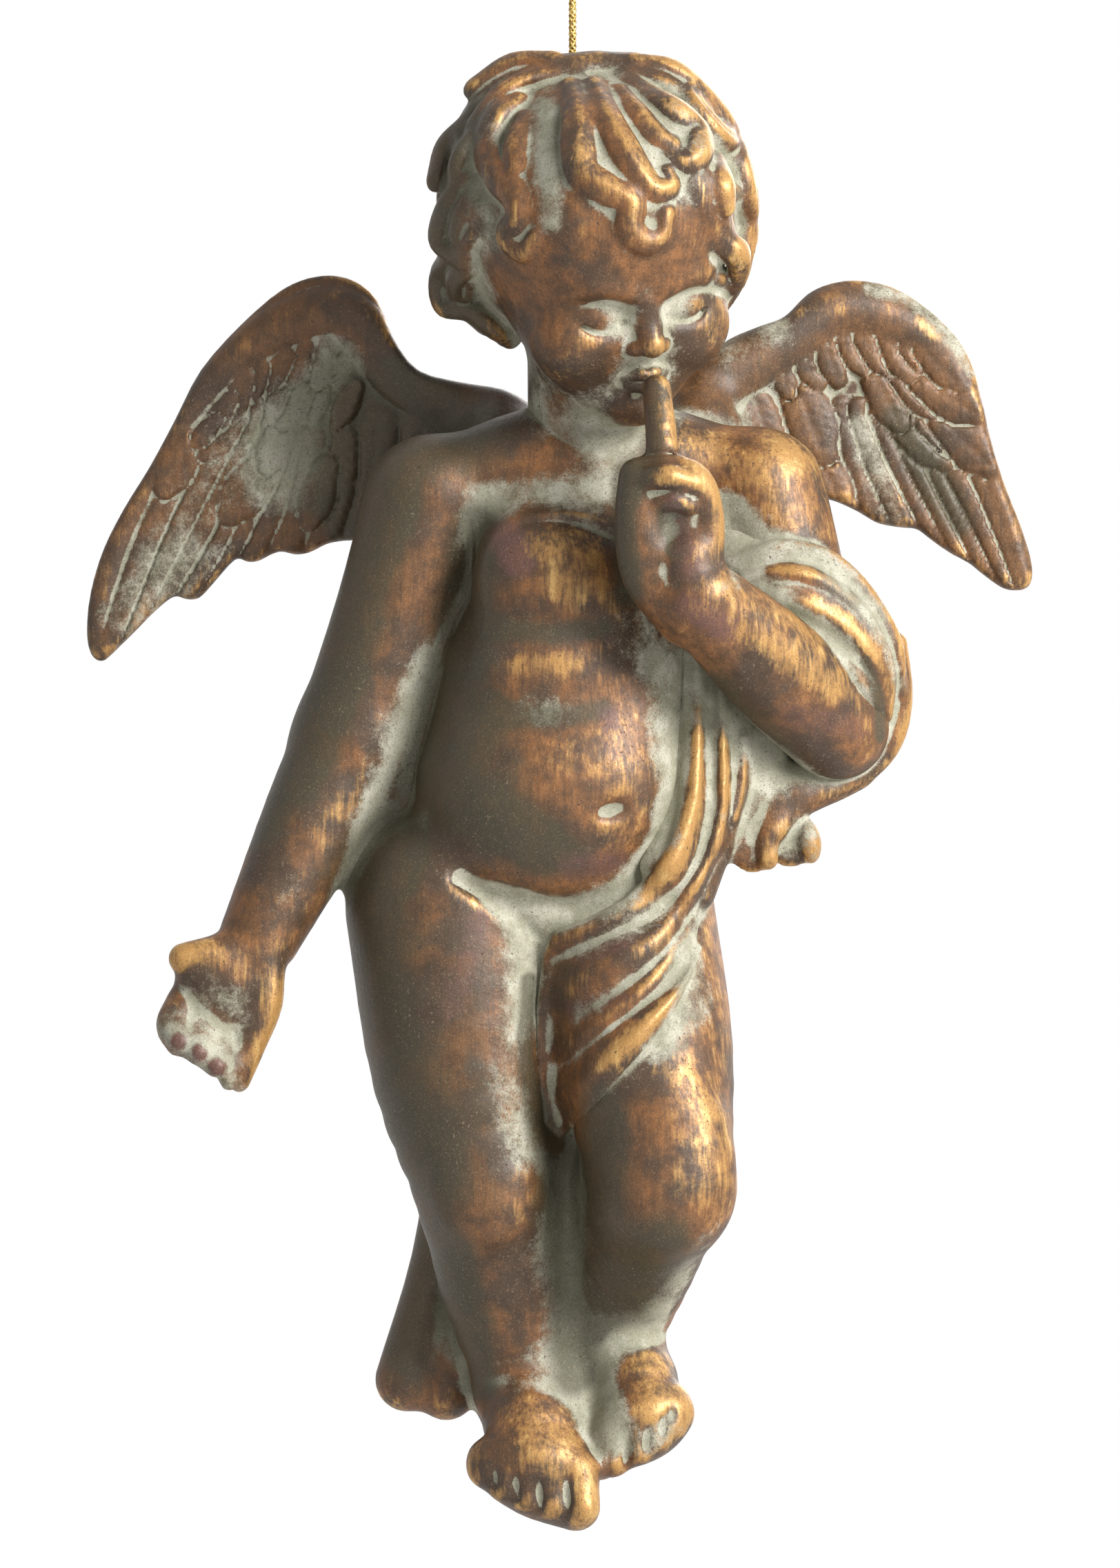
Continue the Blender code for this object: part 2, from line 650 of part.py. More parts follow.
def wing(outline, tips, root, reach):
    """A wing: a rounded leading edge through an outline, and feathers fanned from it to their tips."""
    forms = []
    edge = [Vector((root.x + share * reach, 0, z)) for share, z, _ in outline]
    ends = [Vector((root.x + share * reach, 0, z)) for share, z in tips]
    radii = [radius for _, _, radius in outline]
    forms.append(Limb(tuple(station(point, radius) for point, radius in zip(edge, radii))))
    count = 2 * len(ends) - 1
    for index in range(count):
        tip = ends[index // 2].lerp(ends[(index + 1) // 2], 0.5)
        share = index / (count - 1)
        place = share * (len(edge) - 1.001)
        start = edge[int(place)].lerp(edge[int(place) + 1], place - int(place))
        fill = 0.8 if index % 2 else 1.0
        end = start.lerp(tip, 0.96 if index % 2 else 1.0)
        forms.append(Limb((station(start, FEATHER_RADIUS * fill), station(end, FEATHER_RADIUS * 0.62 * fill))))
    forms.append(Ball((root.x, -4.0, root.z), (7.0, 10.0, 7.5)))
    return forms


def bow_wing(obj, root):
    """Flattens a wing's feathers and bows it from its root behind the shoulder."""
    for vert in obj.data.vertices:
        out = abs(vert.co.x - root.x)
        vert.co.y = root.y + vert.co.y * WING_THICKNESS + WING_BOW * math.sin(min(out / 40.0, 1.3) * 1.6)


# Each wing's leading edge, as shares of its reach, heights and radii, and its feathers' tips.
RIGHT_WING_ROOT = Vector((-9.5, 12.5, -53.0))
LEFT_WING_ROOT = Vector((17.0, 12.5, -51.0))
RIGHT_WING_EDGE = (
    (-0.028, -48.5, 6.5),
    (0.12, -45.5, 5.0),
    (0.269, -41.0, 4.6),
    (0.407, -33.4, 5.0),
    (0.556, -35.6, 4.6),
    (0.75, -45.6, 4.0),
    (0.872, -58.0, 3.2),
    (0.961, -71.0, 2.6),
    (0.998, -78.4, 2.0),
)
RIGHT_WING_TIPS = (
    (0.065, -62.0),
    (0.213, -61.5),
    (0.343, -61.0),
    (0.435, -62.0),
    (0.528, -62.5),
    (0.62, -64.0),
    (0.713, -67.5),
    (0.787, -71.0),
    (0.861, -74.0),
    (0.935, -77.0),
)
LEFT_WING_EDGE = (
    (-0.023, -46.5, 6.5),
    (0.208, -39.5, 4.6),
    (0.431, -33.0, 4.6),
    (0.648, -35.0, 4.6),
    (0.796, -43.0, 4.0),
    (0.889, -54.0, 3.2),
    (0.963, -62.5, 2.6),
    (1.0, -68.0, 2.0),
)
LEFT_WING_TIPS = (
    (0.069, -58.0),
    (0.208, -57.0),
    (0.324, -55.5),
    (0.417, -57.0),
    (0.521, -59.0),
    (0.613, -59.5),
    (0.706, -61.5),
    (0.799, -64.0),
    (0.88, -66.5),
    (0.949, -68.5),
)

FINISHES = {
    "body_casting": ((0.30, 0.15, 0.07, 1), 0.45, 0.55),
    "head_casting": ((0.32, 0.17, 0.08, 1), 0.45, 0.55),
    "right_arm_casting": ((0.28, 0.15, 0.07, 1), 0.45, 0.55),
    "left_arm_casting": ((0.33, 0.18, 0.08, 1), 0.45, 0.55),
    "sash_casting": ((0.42, 0.31, 0.18, 1), 0.5, 0.45),
    "right_wing_casting": ((0.27, 0.17, 0.10, 1), 0.5, 0.45),
    "left_wing_casting": ((0.34, 0.21, 0.11, 1), 0.5, 0.45),
    "crown_plug": ((0.28, 0.16, 0.08, 1), 0.6, 0.0),
    "cord_stem": ((0.72, 0.56, 0.25, 1), 0.4, 0.7),
    "cord_knot": ((0.72, 0.56, 0.25, 1), 0.4, 0.7),
    "cord_loop": ((0.72, 0.56, 0.25, 1), 0.4, 0.7),
}
STEEL = ((0.55, 0.55, 0.57, 1), 0.35, 1.0)


def finish(obj):
    """Gives an object its own material and smooth shading."""
    colour, roughness, metallic = FINISHES.get(obj.name, STEEL)
    material = bpy.data.materials.new(obj.name + "_finish")
    material.use_nodes = True
    shader = material.node_tree.nodes["Principled BSDF"]
    shader.inputs["Base Color"].default_value = colour
    shader.inputs["Roughness"].default_value = roughness
    shader.inputs["Metallic"].default_value = metallic
    obj.data.materials.clear()
    obj.data.materials.append(material)
    if obj.type == "MESH":
        obj.data.shade_smooth()


def cord(name, points):
    """A stretch of cord along points, with filled ends."""
    curve = bpy.data.curves.new(name, "CURVE")
    curve.dimensions = "3D"
    curve.bevel_depth = CORD_DIAMETER / 2 * MM
    curve.bevel_resolution = 2
    curve.use_fill_caps = True
    spline = curve.splines.new("POLY")
    spline.points.add(len(points) - 1)
    for place, point in zip(spline.points, points):
        place.co = (*(Vector(point) * MM), 1)
    obj = bpy.data.objects.new(name, curve)
    bpy.context.collection.objects.link(obj)
    return obj


def knot_height():
    """How tall the knot's turns stand."""
    return KNOT_TURNS * KNOT_PITCH + CORD_DIAMETER / 2


def crown_height():
    """Where the cord leaves the crown, below the hook that holds the loop."""
    return -(LOOP_HEIGHT + knot_height() + STEM_LENGTH)


def cord_loop():
    """The loop: a drop shape whose two ends come down side by side into the knot."""
    foot_of_loop = -LOOP_HEIGHT + CORD_GAP
    rise = CORD_DIAMETER / 2 - foot_of_loop
    points = []
    for index in range(LOOP_POINTS):
        turn = 2 * math.pi * index / (LOOP_POINTS - 1)
        x = LOOP_WIDTH * 0.62 * math.sin(turn) * math.sin(turn / 2) + LOOP_END_SPREAD * math.cos(turn / 2)
        points.append((x, 0, foot_of_loop + rise * (1 - math.cos(turn)) / 2))
    return cord("cord_loop", points)


def cord_knot():
    """The knot: turns of cord wound round its core, as one ribbed barrel."""
    top = -LOOP_HEIGHT
    bm = bmesh.new()
    profile = [Vector((0, 0, top))]
    steps = 6 * KNOT_TURNS
    for step in range(steps + 1):
        height = knot_height() * step / steps
        swell = abs(math.sin(math.pi * KNOT_TURNS * step / steps))
        profile.append(Vector((KNOT_CORE_RADIUS + CORD_DIAMETER * 0.6 * swell, 0, top - height)))
    profile.append(Vector((0, 0, top - knot_height())))
    verts = [bm.verts.new(point * MM) for point in profile]
    for first, second in zip(verts, verts[1:]):
        bm.edges.new((first, second))
    bmesh.ops.spin(
        bm, geom=bm.verts[:] + bm.edges[:], axis=(0, 0, 1), cent=(0, 0, 0), angle=2 * math.pi,
        steps=PIN_SIDES, use_merge=True,
    )
    bmesh.ops.remove_doubles(bm, verts=bm.verts, dist=1e-6)
    bmesh.ops.recalc_face_normals(bm, faces=bm.faces)
    return new_object("cord_knot", bm)


def cord_stem():
    """The straight cord between the knot and the crown."""
    top = -LOOP_HEIGHT - knot_height() - CORD_GAP
    bottom = crown_height() + PLUG_DOME + CORD_GAP
    points = [(0, 0, top + (bottom - top) * index / (STEM_POINTS - 1)) for index in range(STEM_POINTS)]
    return cord("cord_stem", points)


def main():
    """Builds every piece of the figure and of its cord."""
    for obj in list(bpy.data.objects):
        bpy.data.objects.remove(obj)

    body = casting("body_casting", trunk_masses(), trunk_details())
    head = casting("head_casting", neck() + placed(head_masses(), head_frame()),
                   placed(head_details(), head_frame()) + hair())
    right_arm_casting = casting("right_arm_casting", *right_arm())
    left_arm_casting = casting("left_arm_casting", *left_arm())
    sash_casting = casting("sash_casting", [], sash(skin_of(body)))
    right_wing = casting("right_wing_casting", [], wing(RIGHT_WING_EDGE, RIGHT_WING_TIPS, RIGHT_WING_ROOT, -RIGHT_WING_REACH))
    bow_wing(right_wing, RIGHT_WING_ROOT)
    left_wing = casting("left_wing_casting", [], wing(LEFT_WING_EDGE, LEFT_WING_TIPS, LEFT_WING_ROOT, LEFT_WING_REACH))
    bow_wing(left_wing, LEFT_WING_ROOT)

    castings = [body, head, right_arm_casting, left_arm_casting, sash_casting, right_wing, left_wing]
    fit_together(castings)

    pins = [
        pinned("neck_dowel", between(HEAD_CENTRE, NECK_BASE, 0.86), NECK_BASE - HEAD_CENTRE,
               DOWEL_RADIUS, DOWEL_LENGTH, [body, head]),
        pinned("right_shoulder_dowel", RIGHT_SHOULDER + Vector((-1, 0, -1)), (1, 0, 0.1),
               DOWEL_RADIUS, DOWEL_LENGTH, [body, right_arm_casting]),
        pinned("left_shoulder_dowel", LEFT_SHOULDER + Vector((1, 0, -1)), (1, 0, -0.1),
               DOWEL_RADIUS, DOWEL_LENGTH, [body, left_arm_casting]),
        pinned("right_wing_pin", RIGHT_WING_ROOT + WING_PIN_SHIFT, (-0.25, 1, 0), WING_PIN_RADIUS,
               WING_PIN_LENGTH, [body, right_wing]),
        pinned("left_wing_pin", LEFT_WING_ROOT + WING_PIN_SHIFT, (0.25, 1, 0), WING_PIN_RADIUS,
               WING_PIN_LENGTH, [body, left_wing]),
        pinned("crown_plug", (0, 0, PLUG_DOME - PLUG_DEPTH / 2), (0, 0, 1), PLUG_RADIUS, PLUG_DEPTH, [head]),
    ]

    figure = bpy.data.objects.new("figure", None)
    figure.location = (0, 0, crown_height() * MM)
    figure.scale = (MM, MM, MM)
    bpy.context.collection.objects.link(figure)
    for obj in castings + pins:
        obj.parent = figure
        finish(obj)
    for obj in (cord_loop(), cord_knot(), cord_stem()):
        finish(obj)


main()
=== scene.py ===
"""Looks of the hanging resin cherub: sculpted castings, antique gilding and a braided gold cord."""

import logging
import math
from collections.abc import Sequence
from dataclasses import dataclass, field
from enum import Enum

import bpy
import numpy as np
from mathutils import Euler, Matrix, Vector


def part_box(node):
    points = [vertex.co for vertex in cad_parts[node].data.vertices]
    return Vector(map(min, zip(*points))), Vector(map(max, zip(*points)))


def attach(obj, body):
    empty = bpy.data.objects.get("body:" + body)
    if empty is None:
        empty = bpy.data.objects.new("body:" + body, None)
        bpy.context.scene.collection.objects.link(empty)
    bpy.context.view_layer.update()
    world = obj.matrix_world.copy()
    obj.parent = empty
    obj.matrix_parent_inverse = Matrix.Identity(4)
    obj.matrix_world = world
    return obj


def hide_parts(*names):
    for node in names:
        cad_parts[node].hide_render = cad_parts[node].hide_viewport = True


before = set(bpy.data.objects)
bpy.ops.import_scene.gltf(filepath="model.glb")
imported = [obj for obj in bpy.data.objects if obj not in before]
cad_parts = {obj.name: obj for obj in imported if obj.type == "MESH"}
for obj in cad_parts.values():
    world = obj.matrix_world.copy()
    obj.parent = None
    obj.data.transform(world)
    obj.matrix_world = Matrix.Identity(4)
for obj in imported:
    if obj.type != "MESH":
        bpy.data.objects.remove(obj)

LOG = logging.getLogger("cherub")
MM = 0.001  # every length below is in millimetres from the crown, unless it says otherwise
FAR = np.float32(20.0)

Point = tuple[float, float, float]
Axes = tuple[np.ndarray, np.ndarray, np.ndarray]


class Rides(Enum):
    """The body of the frame that a piece moves with."""

    LOOP = "loop"
    KNOT = "knot"
    STEM = "stem"
    FIGURE = "figure"


class Slot(Enum):
    """The names of the record's material slots."""

    BRONZED = "bronzed_resin"
    GILDED = "gilded_resin"
    BARE = "bare_resin"
    CORD = "gold_cord"


def soft_min(first: np.ndarray, second: np.ndarray, blend: float) -> np.ndarray:
    """Joins two distances with a fillet.

    Args:
        first: Distances to one shape.
        second: Distances to the other shape.
        blend: The fillet's size.

    Returns:
        The distances to the filleted union.
    """
    if blend <= 0:
        return np.minimum(first, second)
    share = np.clip(0.5 + (second - first) * np.float32(0.5 / blend), 0, 1)
    return second + (first - second) * share - np.float32(blend) * share * (1 - share)


def flow(rows: Sequence[Sequence[float]], per_span: int = 4) -> np.ndarray:
    """Runs a smooth curve through stations.

    Args:
        rows: The stations, one row of numbers each.
        per_span: How many points each span gets.

    Returns:
        The points along the curve, with every column interpolated.
    """
    stations = np.asarray(rows, np.float64)
    if len(stations) < 3:
        return stations
    padded = np.vstack([2 * stations[0] - stations[1], stations, 2 * stations[-1] - stations[-2]])
    share = np.linspace(0, 1, per_span, endpoint=False)[:, None]
    spans = []
    for index in range(len(stations) - 1):
        before, start, end, after = padded[index : index + 4]
        bend = 2 * before - 5 * start + 4 * end - after
        twist = 3 * start - before - 3 * end + after
        spans.append(0.5 * (2 * start + (end - before) * share + bend * share**2 + twist * share**3))
    return np.vstack([*spans, stations[-1:]])


def unit(rows: np.ndarray) -> np.ndarray:
    """Scales each row to length one."""
    return rows / np.maximum(np.linalg.norm(rows, axis=-1, keepdims=True), 1e-9)


@dataclass(frozen=True)
class Ball:
    """An ellipsoid of clay, turned by angles in degrees.

    Attributes:
        centre: Its middle.
        radii: Its half lengths.
        turn: Its angles about x, y and z.
        place: The frame that it is given in.
    """

    centre: Point
    radii: Point
    turn: Point = (0.0, 0.0, 0.0)
    place: Matrix | None = None

    def distance(self, axes: Axes, margin: float) -> np.ndarray:
        """Measures how far each lattice point lies from the surface.

        Args:
            axes: The lattice's coordinates.
            margin: How far out the result has to hold, which a ball doesn't need.

        Returns:
            The signed distances.
        """
        middle, turn = self._placed()
        offsets = [axis - middle[index] for index, axis in enumerate(axes)]
        first = np.float32(0)
        second = np.float32(0)
        for own, radius in enumerate(self.radii):
            along = (
                (offsets[0] * turn[0, own])[:, None, None]
                + (offsets[1] * turn[1, own])[None, :, None]
                + (offsets[2] * turn[2, own])[None, None, :]
            )
            first = first + np.square(along / np.float32(radius))
            second = second + np.square(along / np.float32(radius**2))
        reach = np.sqrt(first)
        return reach * (reach - 1) / np.maximum(np.sqrt(second), np.float32(1e-4))

    def box(self) -> tuple[np.ndarray, np.ndarray]:
        """The corners of a box round the ball."""
        middle, turn = self._placed()
        reach = np.sqrt((np.square(turn) * np.square(np.array(self.radii))).sum(axis=1))
        return middle - reach, middle + reach

    def _placed(self) -> tuple[np.ndarray, np.ndarray]:
        """The middle and the turn in the figure's frame."""
        turn = Euler([math.radians(angle) for angle in self.turn]).to_matrix()
        middle = Vector(self.centre)
        if self.place is not None:
            turn = self.place.to_3x3() @ turn
            middle = self.place @ middle
        return np.array(middle, np.float32), np.array(turn, np.float32)


@dataclass(frozen=True)
class Strand:
    """A tapering strand of clay along a curve: a limb, a lock of hair, a feather or a fold.

    Attributes:
        stations: Rows of x, y, z, half width and half depth.
        outward: The direction of its broad face at each station, or one for all of them.
        pitch: How far apart the grooves along it lie, or nothing.
        depth: How deep those grooves are.
    """

    stations: np.ndarray
    outward: np.ndarray
    pitch: float = 0.0
    depth: float = 0.0

    def box(self) -> tuple[np.ndarray, np.ndarray]:
        """The corners of a box round the strand."""
        reach = self.stations[:, 3:].max(axis=1, keepdims=True)
        return (self.stations[:, :3] - reach).min(axis=0), (self.stations[:, :3] + reach).max(axis=0)

    def distance(self, axes: Axes, margin: float) -> np.ndarray:
        """Measures how far each lattice point lies from the surface.

        Args:
            axes: The lattice's coordinates.
            margin: How far out the result has to hold.

        Returns:
            The signed distances, and a far value further out than the margin.
        """
        result = np.full([len(axis) for axis in axes], FAR, np.float32)
        facing = np.broadcast_to(self.outward, (len(self.stations), 3))
        for index in range(len(self.stations) - 1):
            start, end = self.stations[index], self.stations[index + 1]
            reach = max(*start[3:], *end[3:]) + margin
            low = np.minimum(start[:3], end[:3]) - reach
            high = np.maximum(start[:3], end[:3]) + reach
            window = tuple(slice(*np.searchsorted(axis, (low[i], high[i]))) for i, axis in enumerate(axes))
            part = result[window]
            if part.size:
                near = tuple(axis[cut] for axis, cut in zip(axes, window))
                np.minimum(part, self._stretch(near, start, end, facing[index] + facing[index + 1]), out=part)
        return result

    def _stretch(self, axes: Axes, start: np.ndarray, end: np.ndarray, facing: np.ndarray) -> np.ndarray:
        """The distances to one stretch between two stations."""
        run = (end - start)[:3]
        length = float(np.linalg.norm(run)) + 1e-6
        ahead = run / length
        side = unit(np.cross(ahead, facing))
        up = np.cross(side, ahead)
        offsets = [axis - np.float32(start[index]) for index, axis in enumerate(axes)]

        def along(direction: np.ndarray) -> np.ndarray:
            """The coordinate along a direction, over the lattice."""
            x, y, z = (np.float32(value) for value in direction)
            return (offsets[0] * x)[:, None, None] + (offsets[1] * y)[None, :, None] + (offsets[2] * z)[None, None, :]

        forward = along(ahead)
        share = np.clip(forward / np.float32(length), 0, 1)
        beyond = forward - share * np.float32(length)
        across = along(side)
        out = along(up)
        width = np.float32(start[3]) + share * np.float32(end[3] - start[3])
        depth = np.float32(start[4]) + share * np.float32(end[4] - start[4])
        if start[3] == start[4] and end[3] == end[4]:
            result = np.sqrt(across**2 + out**2 + beyond**2) - width
        else:
            first = np.sqrt((across / width) ** 2 + (out / depth) ** 2 + (beyond / width) ** 2)
            second = np.sqrt((across / width**2) ** 2 + (out / depth**2) ** 2 + (beyond / width**2) ** 2)
            result = first * (first - 1) / np.maximum(second, np.float32(1e-4))
        if self.pitch:
            waves = np.cos(across * np.float32(2 * math.pi / self.pitch))
            result += np.float32(self.depth * 0.5) * (1 - waves)
        return result


Form = Ball | Strand


def limb(*rows: Sequence[float], smooth: int = 4) -> Strand:
    """A round strand through stations of x, y, z and radius.

    Args:
        rows: The stations.
        smooth: How many points each span gets.

    Returns:
        The strand.
    """
    stations = flow([(*row[:3], row[3], row[3]) for row in rows], smooth)
    stations[:, 4] = stations[:, 3]
    return Strand(stations, np.array((0.31, -0.9, 0.3)))


def ribbon(
    rows: Sequence[Sequence[float]], outward: Sequence, pitch: float = 0.0, depth: float = 0.0, smooth: int = 4
) -> Strand:
    """A flattened strand through stations of x, y, z, half width and half depth.

    Args:
        rows: The stations.
        outward: The direction of its broad face, or one for each station.
        pitch: How far apart the grooves along it lie.
        depth: How deep those grooves are.
        smooth: How many points each span gets.

    Returns:
        The strand.
    """
    facing = np.asarray(outward, np.float64)
    if facing.ndim == 2:
        facing = unit(flow(facing, smooth))
    return Strand(flow(rows, smooth), facing, pitch, depth)


class Clay:
    """A block of modelling clay: a lattice of signed distances that forms are pressed into and cut from."""

    def __init__(self, low: Point, high: Point, step: float) -> None:
        """Lays out an empty block.

        Args:
            low: The block's lowest corner.
            high: The block's highest corner.
            step: The lattice's spacing.
        """
        self.step = step
        self.axes: Axes = tuple(np.arange(a, b + step, step, dtype=np.float32) for a, b in zip(low, high))
        self.low = np.array([axis[0] for axis in self.axes])
        self.field = np.full([len(axis) for axis in self.axes], FAR, np.float32)

    def press(self, form: Form, blend: float = 0.0) -> None:
        """Adds a form, filleted into what is there."""
        window, distance = self._measure(form, blend)
        self.field[window] = soft_min(self.field[window], distance, blend)

    def cut(self, form: Form, blend: float = 0.0) -> None:
        """Takes a form away, with its edge rounded."""
        window, distance = self._measure(form, blend)
        self.field[window] = -soft_min(-self.field[window], distance, blend)

    def _measure(self, form: Form, blend: float) -> tuple[tuple[slice, ...], np.ndarray]:
        """The part of the lattice near a form, and its distances there."""
        margin = blend + 2.5 * self.step
        low, high = form.box()
        window = tuple(
            slice(*np.searchsorted(axis, (low[index] - margin, high[index] + margin)))
            for index, axis in enumerate(self.axes)
        )
        near = tuple(axis[cut] for axis, cut in zip(self.axes, window))
        return window, form.distance(near, margin)

    def front(self, x: float, z: float) -> float:
        """The depth at which the clay begins, seen from the front at a place, or infinity where there is none near."""
        i, _, k = (np.rint((np.array((x, 0, z)) - self.low) / self.step)).astype(int)
        column = self.field[i, :, k]
        inside = np.flatnonzero(column < 0)
        if not len(inside):
            return float(self.axes[1][int(column.argmin())]) if column.min() < FAR * 0.9 else math.inf
        first = inside[0]
        share = column[first - 1] / (column[first - 1] - column[first])
        return float(self.axes[1][first - 1] + share * self.step)

    def at(self, points: np.ndarray, values: np.ndarray | None = None) -> np.ndarray:
        """Reads the lattice between its points.

        Args:
            points: Where to read.
            values: Another lattice of the same layout, or nothing for the distances.

        Returns:
            The values there.
        """
        lattice = self.field if values is None else values
        place = (points - self.low) / self.step
        top = np.array(lattice.shape) - 2
        base = np.clip(np.floor(place), 0, top).astype(np.int64)
        share = np.clip(place - base, 0, 1).astype(np.float32)
        result = np.zeros(len(points), np.float32)
        for corner in np.ndindex(2, 2, 2):
            weight = np.prod(np.where(np.array(corner), share, 1 - share), axis=1)
            i, j, k = (base + np.array(corner)).T
            result += weight * lattice[i, j, k]
        return result

    def skin(self, values: np.ndarray | None = None) -> "Skin":
        """Wraps the clay in a mesh of quads, with a point in each cell that the surface crosses.

        Args:
            values: Another lattice of distances of the same layout, or nothing for the block's own.

        Returns:
            The skin.
        """
        lattice = self.field if values is None else values
        inside = lattice < 0
        cells = tuple(size - 1 for size in lattice.shape)
        count = np.zeros(cells, np.uint8)
        for corner in np.ndindex(2, 2, 2):
            count += inside[tuple(slice(c, c + n) for c, n in zip(corner, cells))]
        crossed = np.argwhere((count > 0) & (count < 8))
        order = np.full(cells, -1, np.int32)
        order[tuple(crossed.T)] = np.arange(len(crossed))
        total = np.zeros((len(crossed), 3), np.float64)
        hits = np.zeros((len(crossed), 1), np.float64)
        for axis in range(3):
            others = [other for other in range(3) if other != axis]
            for low, high in np.ndindex(2, 2):
                start = np.zeros(3, np.int64)
                start[others] = (low, high)
                ahead = start.copy()
                ahead[axis] = 1
                first = lattice[tuple((crossed + start).T)]
                second = lattice[tuple((crossed + ahead).T)]
                hit = (first < 0) != (second < 0)
                share = np.where(hit, first / np.where(hit, first - second, 1), 0)
                place = np.repeat(start[None, :].astype(np.float64), len(crossed), axis=0)
                place[:, axis] = share
                total += place * hit[:, None]
                hits += hit[:, None]
        points = self.low + (crossed + total / hits) * self.step
        return Skin(points, self._quads(inside, order))

    @staticmethod
    def _quads(inside: np.ndarray, order: np.ndarray) -> np.ndarray:
        """The faces between the cells round each lattice edge that the surface crosses."""
        faces = []
        for axis in range(3):
            first, second = [other for other in range(3) if other != axis]
            low = [slice(1, -1)] * 3
            low[axis] = slice(0, -1)
            high = list(low)
            high[axis] = slice(1, None)
            before, after = inside[tuple(low)], inside[tuple(high)]
            places = np.argwhere(before != after)
            shift = np.ones(3, np.int64)
            shift[axis] = 0
            places = places + shift
            corners = []
            for a, b in ((1, 1), (0, 1), (0, 0), (1, 0)):
                cell = places.copy()
                cell[:, first] -= a
                cell[:, second] -= b
                corners.append(order[tuple(cell.T)])
            quads = np.stack(corners, axis=1)
            outward = before[tuple((places - shift).T)]
            flip = outward if axis != 1 else ~outward
            faces.append(np.where(flip[:, None], quads, quads[:, ::-1]))
        return np.vstack(faces)


@dataclass
class Skin:
    """The mesh round a block of clay.

    Attributes:
        points: The vertices.
        quads: The faces, as rows of four vertices.
    """

    points: np.ndarray
    quads: np.ndarray

    def relaxed(self, rounds: int = 2, weight: float = 0.5) -> "Skin":
        """Evens out the lattice's steps by moving each vertex towards its neighbours."""
        points = self.points
        ends = np.vstack([self.quads[:, [a, (a + 1) % 4]] for a in range(4)])
        degree = np.bincount(ends[:, 0], minlength=len(points))[:, None].clip(1)
        for _ in range(rounds):
            mean = np.stack(
                [np.bincount(ends[:, 0], points[ends[:, 1], axis], len(points)) for axis in range(3)], axis=1
            )
            points = points + weight * (mean / degree - points)
        return Skin(points, self.quads)

    def parted(self, chosen: np.ndarray) -> "Skin":
        """The faces whose vertices are all chosen, with the rest dropped."""
        kept = chosen[self.quads].all(axis=1)
        used = np.unique(self.quads[kept])
        order = np.full(len(self.points), -1, np.int64)
        order[used] = np.arange(len(used))
        return Skin(self.points[used], order[self.quads[kept]])

    def normals(self) -> np.ndarray:
        """The vertex normals, weighted by the faces' areas."""
        corner = self.points[self.quads]
        cross = np.cross(corner[:, 2] - corner[:, 0], corner[:, 3] - corner[:, 1])
        total = np.stack(
            [np.bincount(self.quads.ravel(), np.repeat(cross[:, axis], 4), len(self.points)) for axis in range(3)],
            axis=1,
        )
        return unit(total)


@dataclass
class Relief:
    """How hollow or proud each place of the figure lies, at several widths, for the washes and the gilding.

    Attributes:
        step: The spacing of its lattice.
        low: The lattice's lowest corner.
        high: The lattice's highest corner.
        widths: The widths over which clay is counted, by the attribute's name.
    """

    step: float = 0.8
    low: Point = (-70.0, -36.0, -200.0)
    high: Point = (68.0, 26.0, 4.0)
    widths: dict[str, float] = field(default_factory=lambda: {"near": 1.6, "wide": 4.8, "broad": 9.6})
    levels: dict[str, np.ndarray] = field(default_factory=dict)
    block: Clay | None = None

    def fill(self, clays: Sequence[Clay]) -> None:
        """Counts the clay of every block round each place.

        Args:
            clays: The blocks that make up the figure.
        """
        self.block = Clay(self.low, self.high, self.step)
        for clay in clays:
            spans = [(axis[0], axis[-1]) for axis in clay.axes]
            window = tuple(slice(*np.searchsorted(a, span)) for a, span in zip(self.block.axes, spans))
            near = np.stack(
                np.meshgrid(*(a[cut] for a, cut in zip(self.block.axes, window)), indexing="ij"), axis=-1
            )
            read = clay.at(near.reshape(-1, 3)).reshape(near.shape[:3])
            self.block.field[window] = np.minimum(self.block.field[window], read)
        solid = np.clip(0.5 - self.block.field / np.float32(self.step), 0, 1)
        for name, width in self.widths.items():
            self.levels[name] = self._blurred(solid, width)

    def _blurred(self, solid: np.ndarray, width: float) -> np.ndarray:
        """The mean of the lattice over a width, taken twice for a soft edge."""
        half = max(1, round(width / self.step / 1.5))
        result = solid
        for _ in range(2):
            for axis in range(3):
                pad = [(0, 0)] * 3
                pad[axis] = (half + 1, half)
                total = np.cumsum(np.pad(result, pad, mode="edge"), axis=axis, dtype=np.float64)
                size = result.shape[axis]
                ahead = np.take(total, np.arange(2 * half + 1, 2 * half + 1 + size), axis=axis)
                behind = np.take(total, np.arange(0, size), axis=axis)
                result = ((ahead - behind) / (2 * half + 1)).astype(np.float32)
        return result

    def read(self, points: np.ndarray) -> dict[str, np.ndarray]:
        """The share of clay round each point, by width.

        Args:
            points: Where to read.

        Returns:
            The shares by attribute name.
        """
        return {name: self.block.at(points, level) for name, level in self.levels.items()}


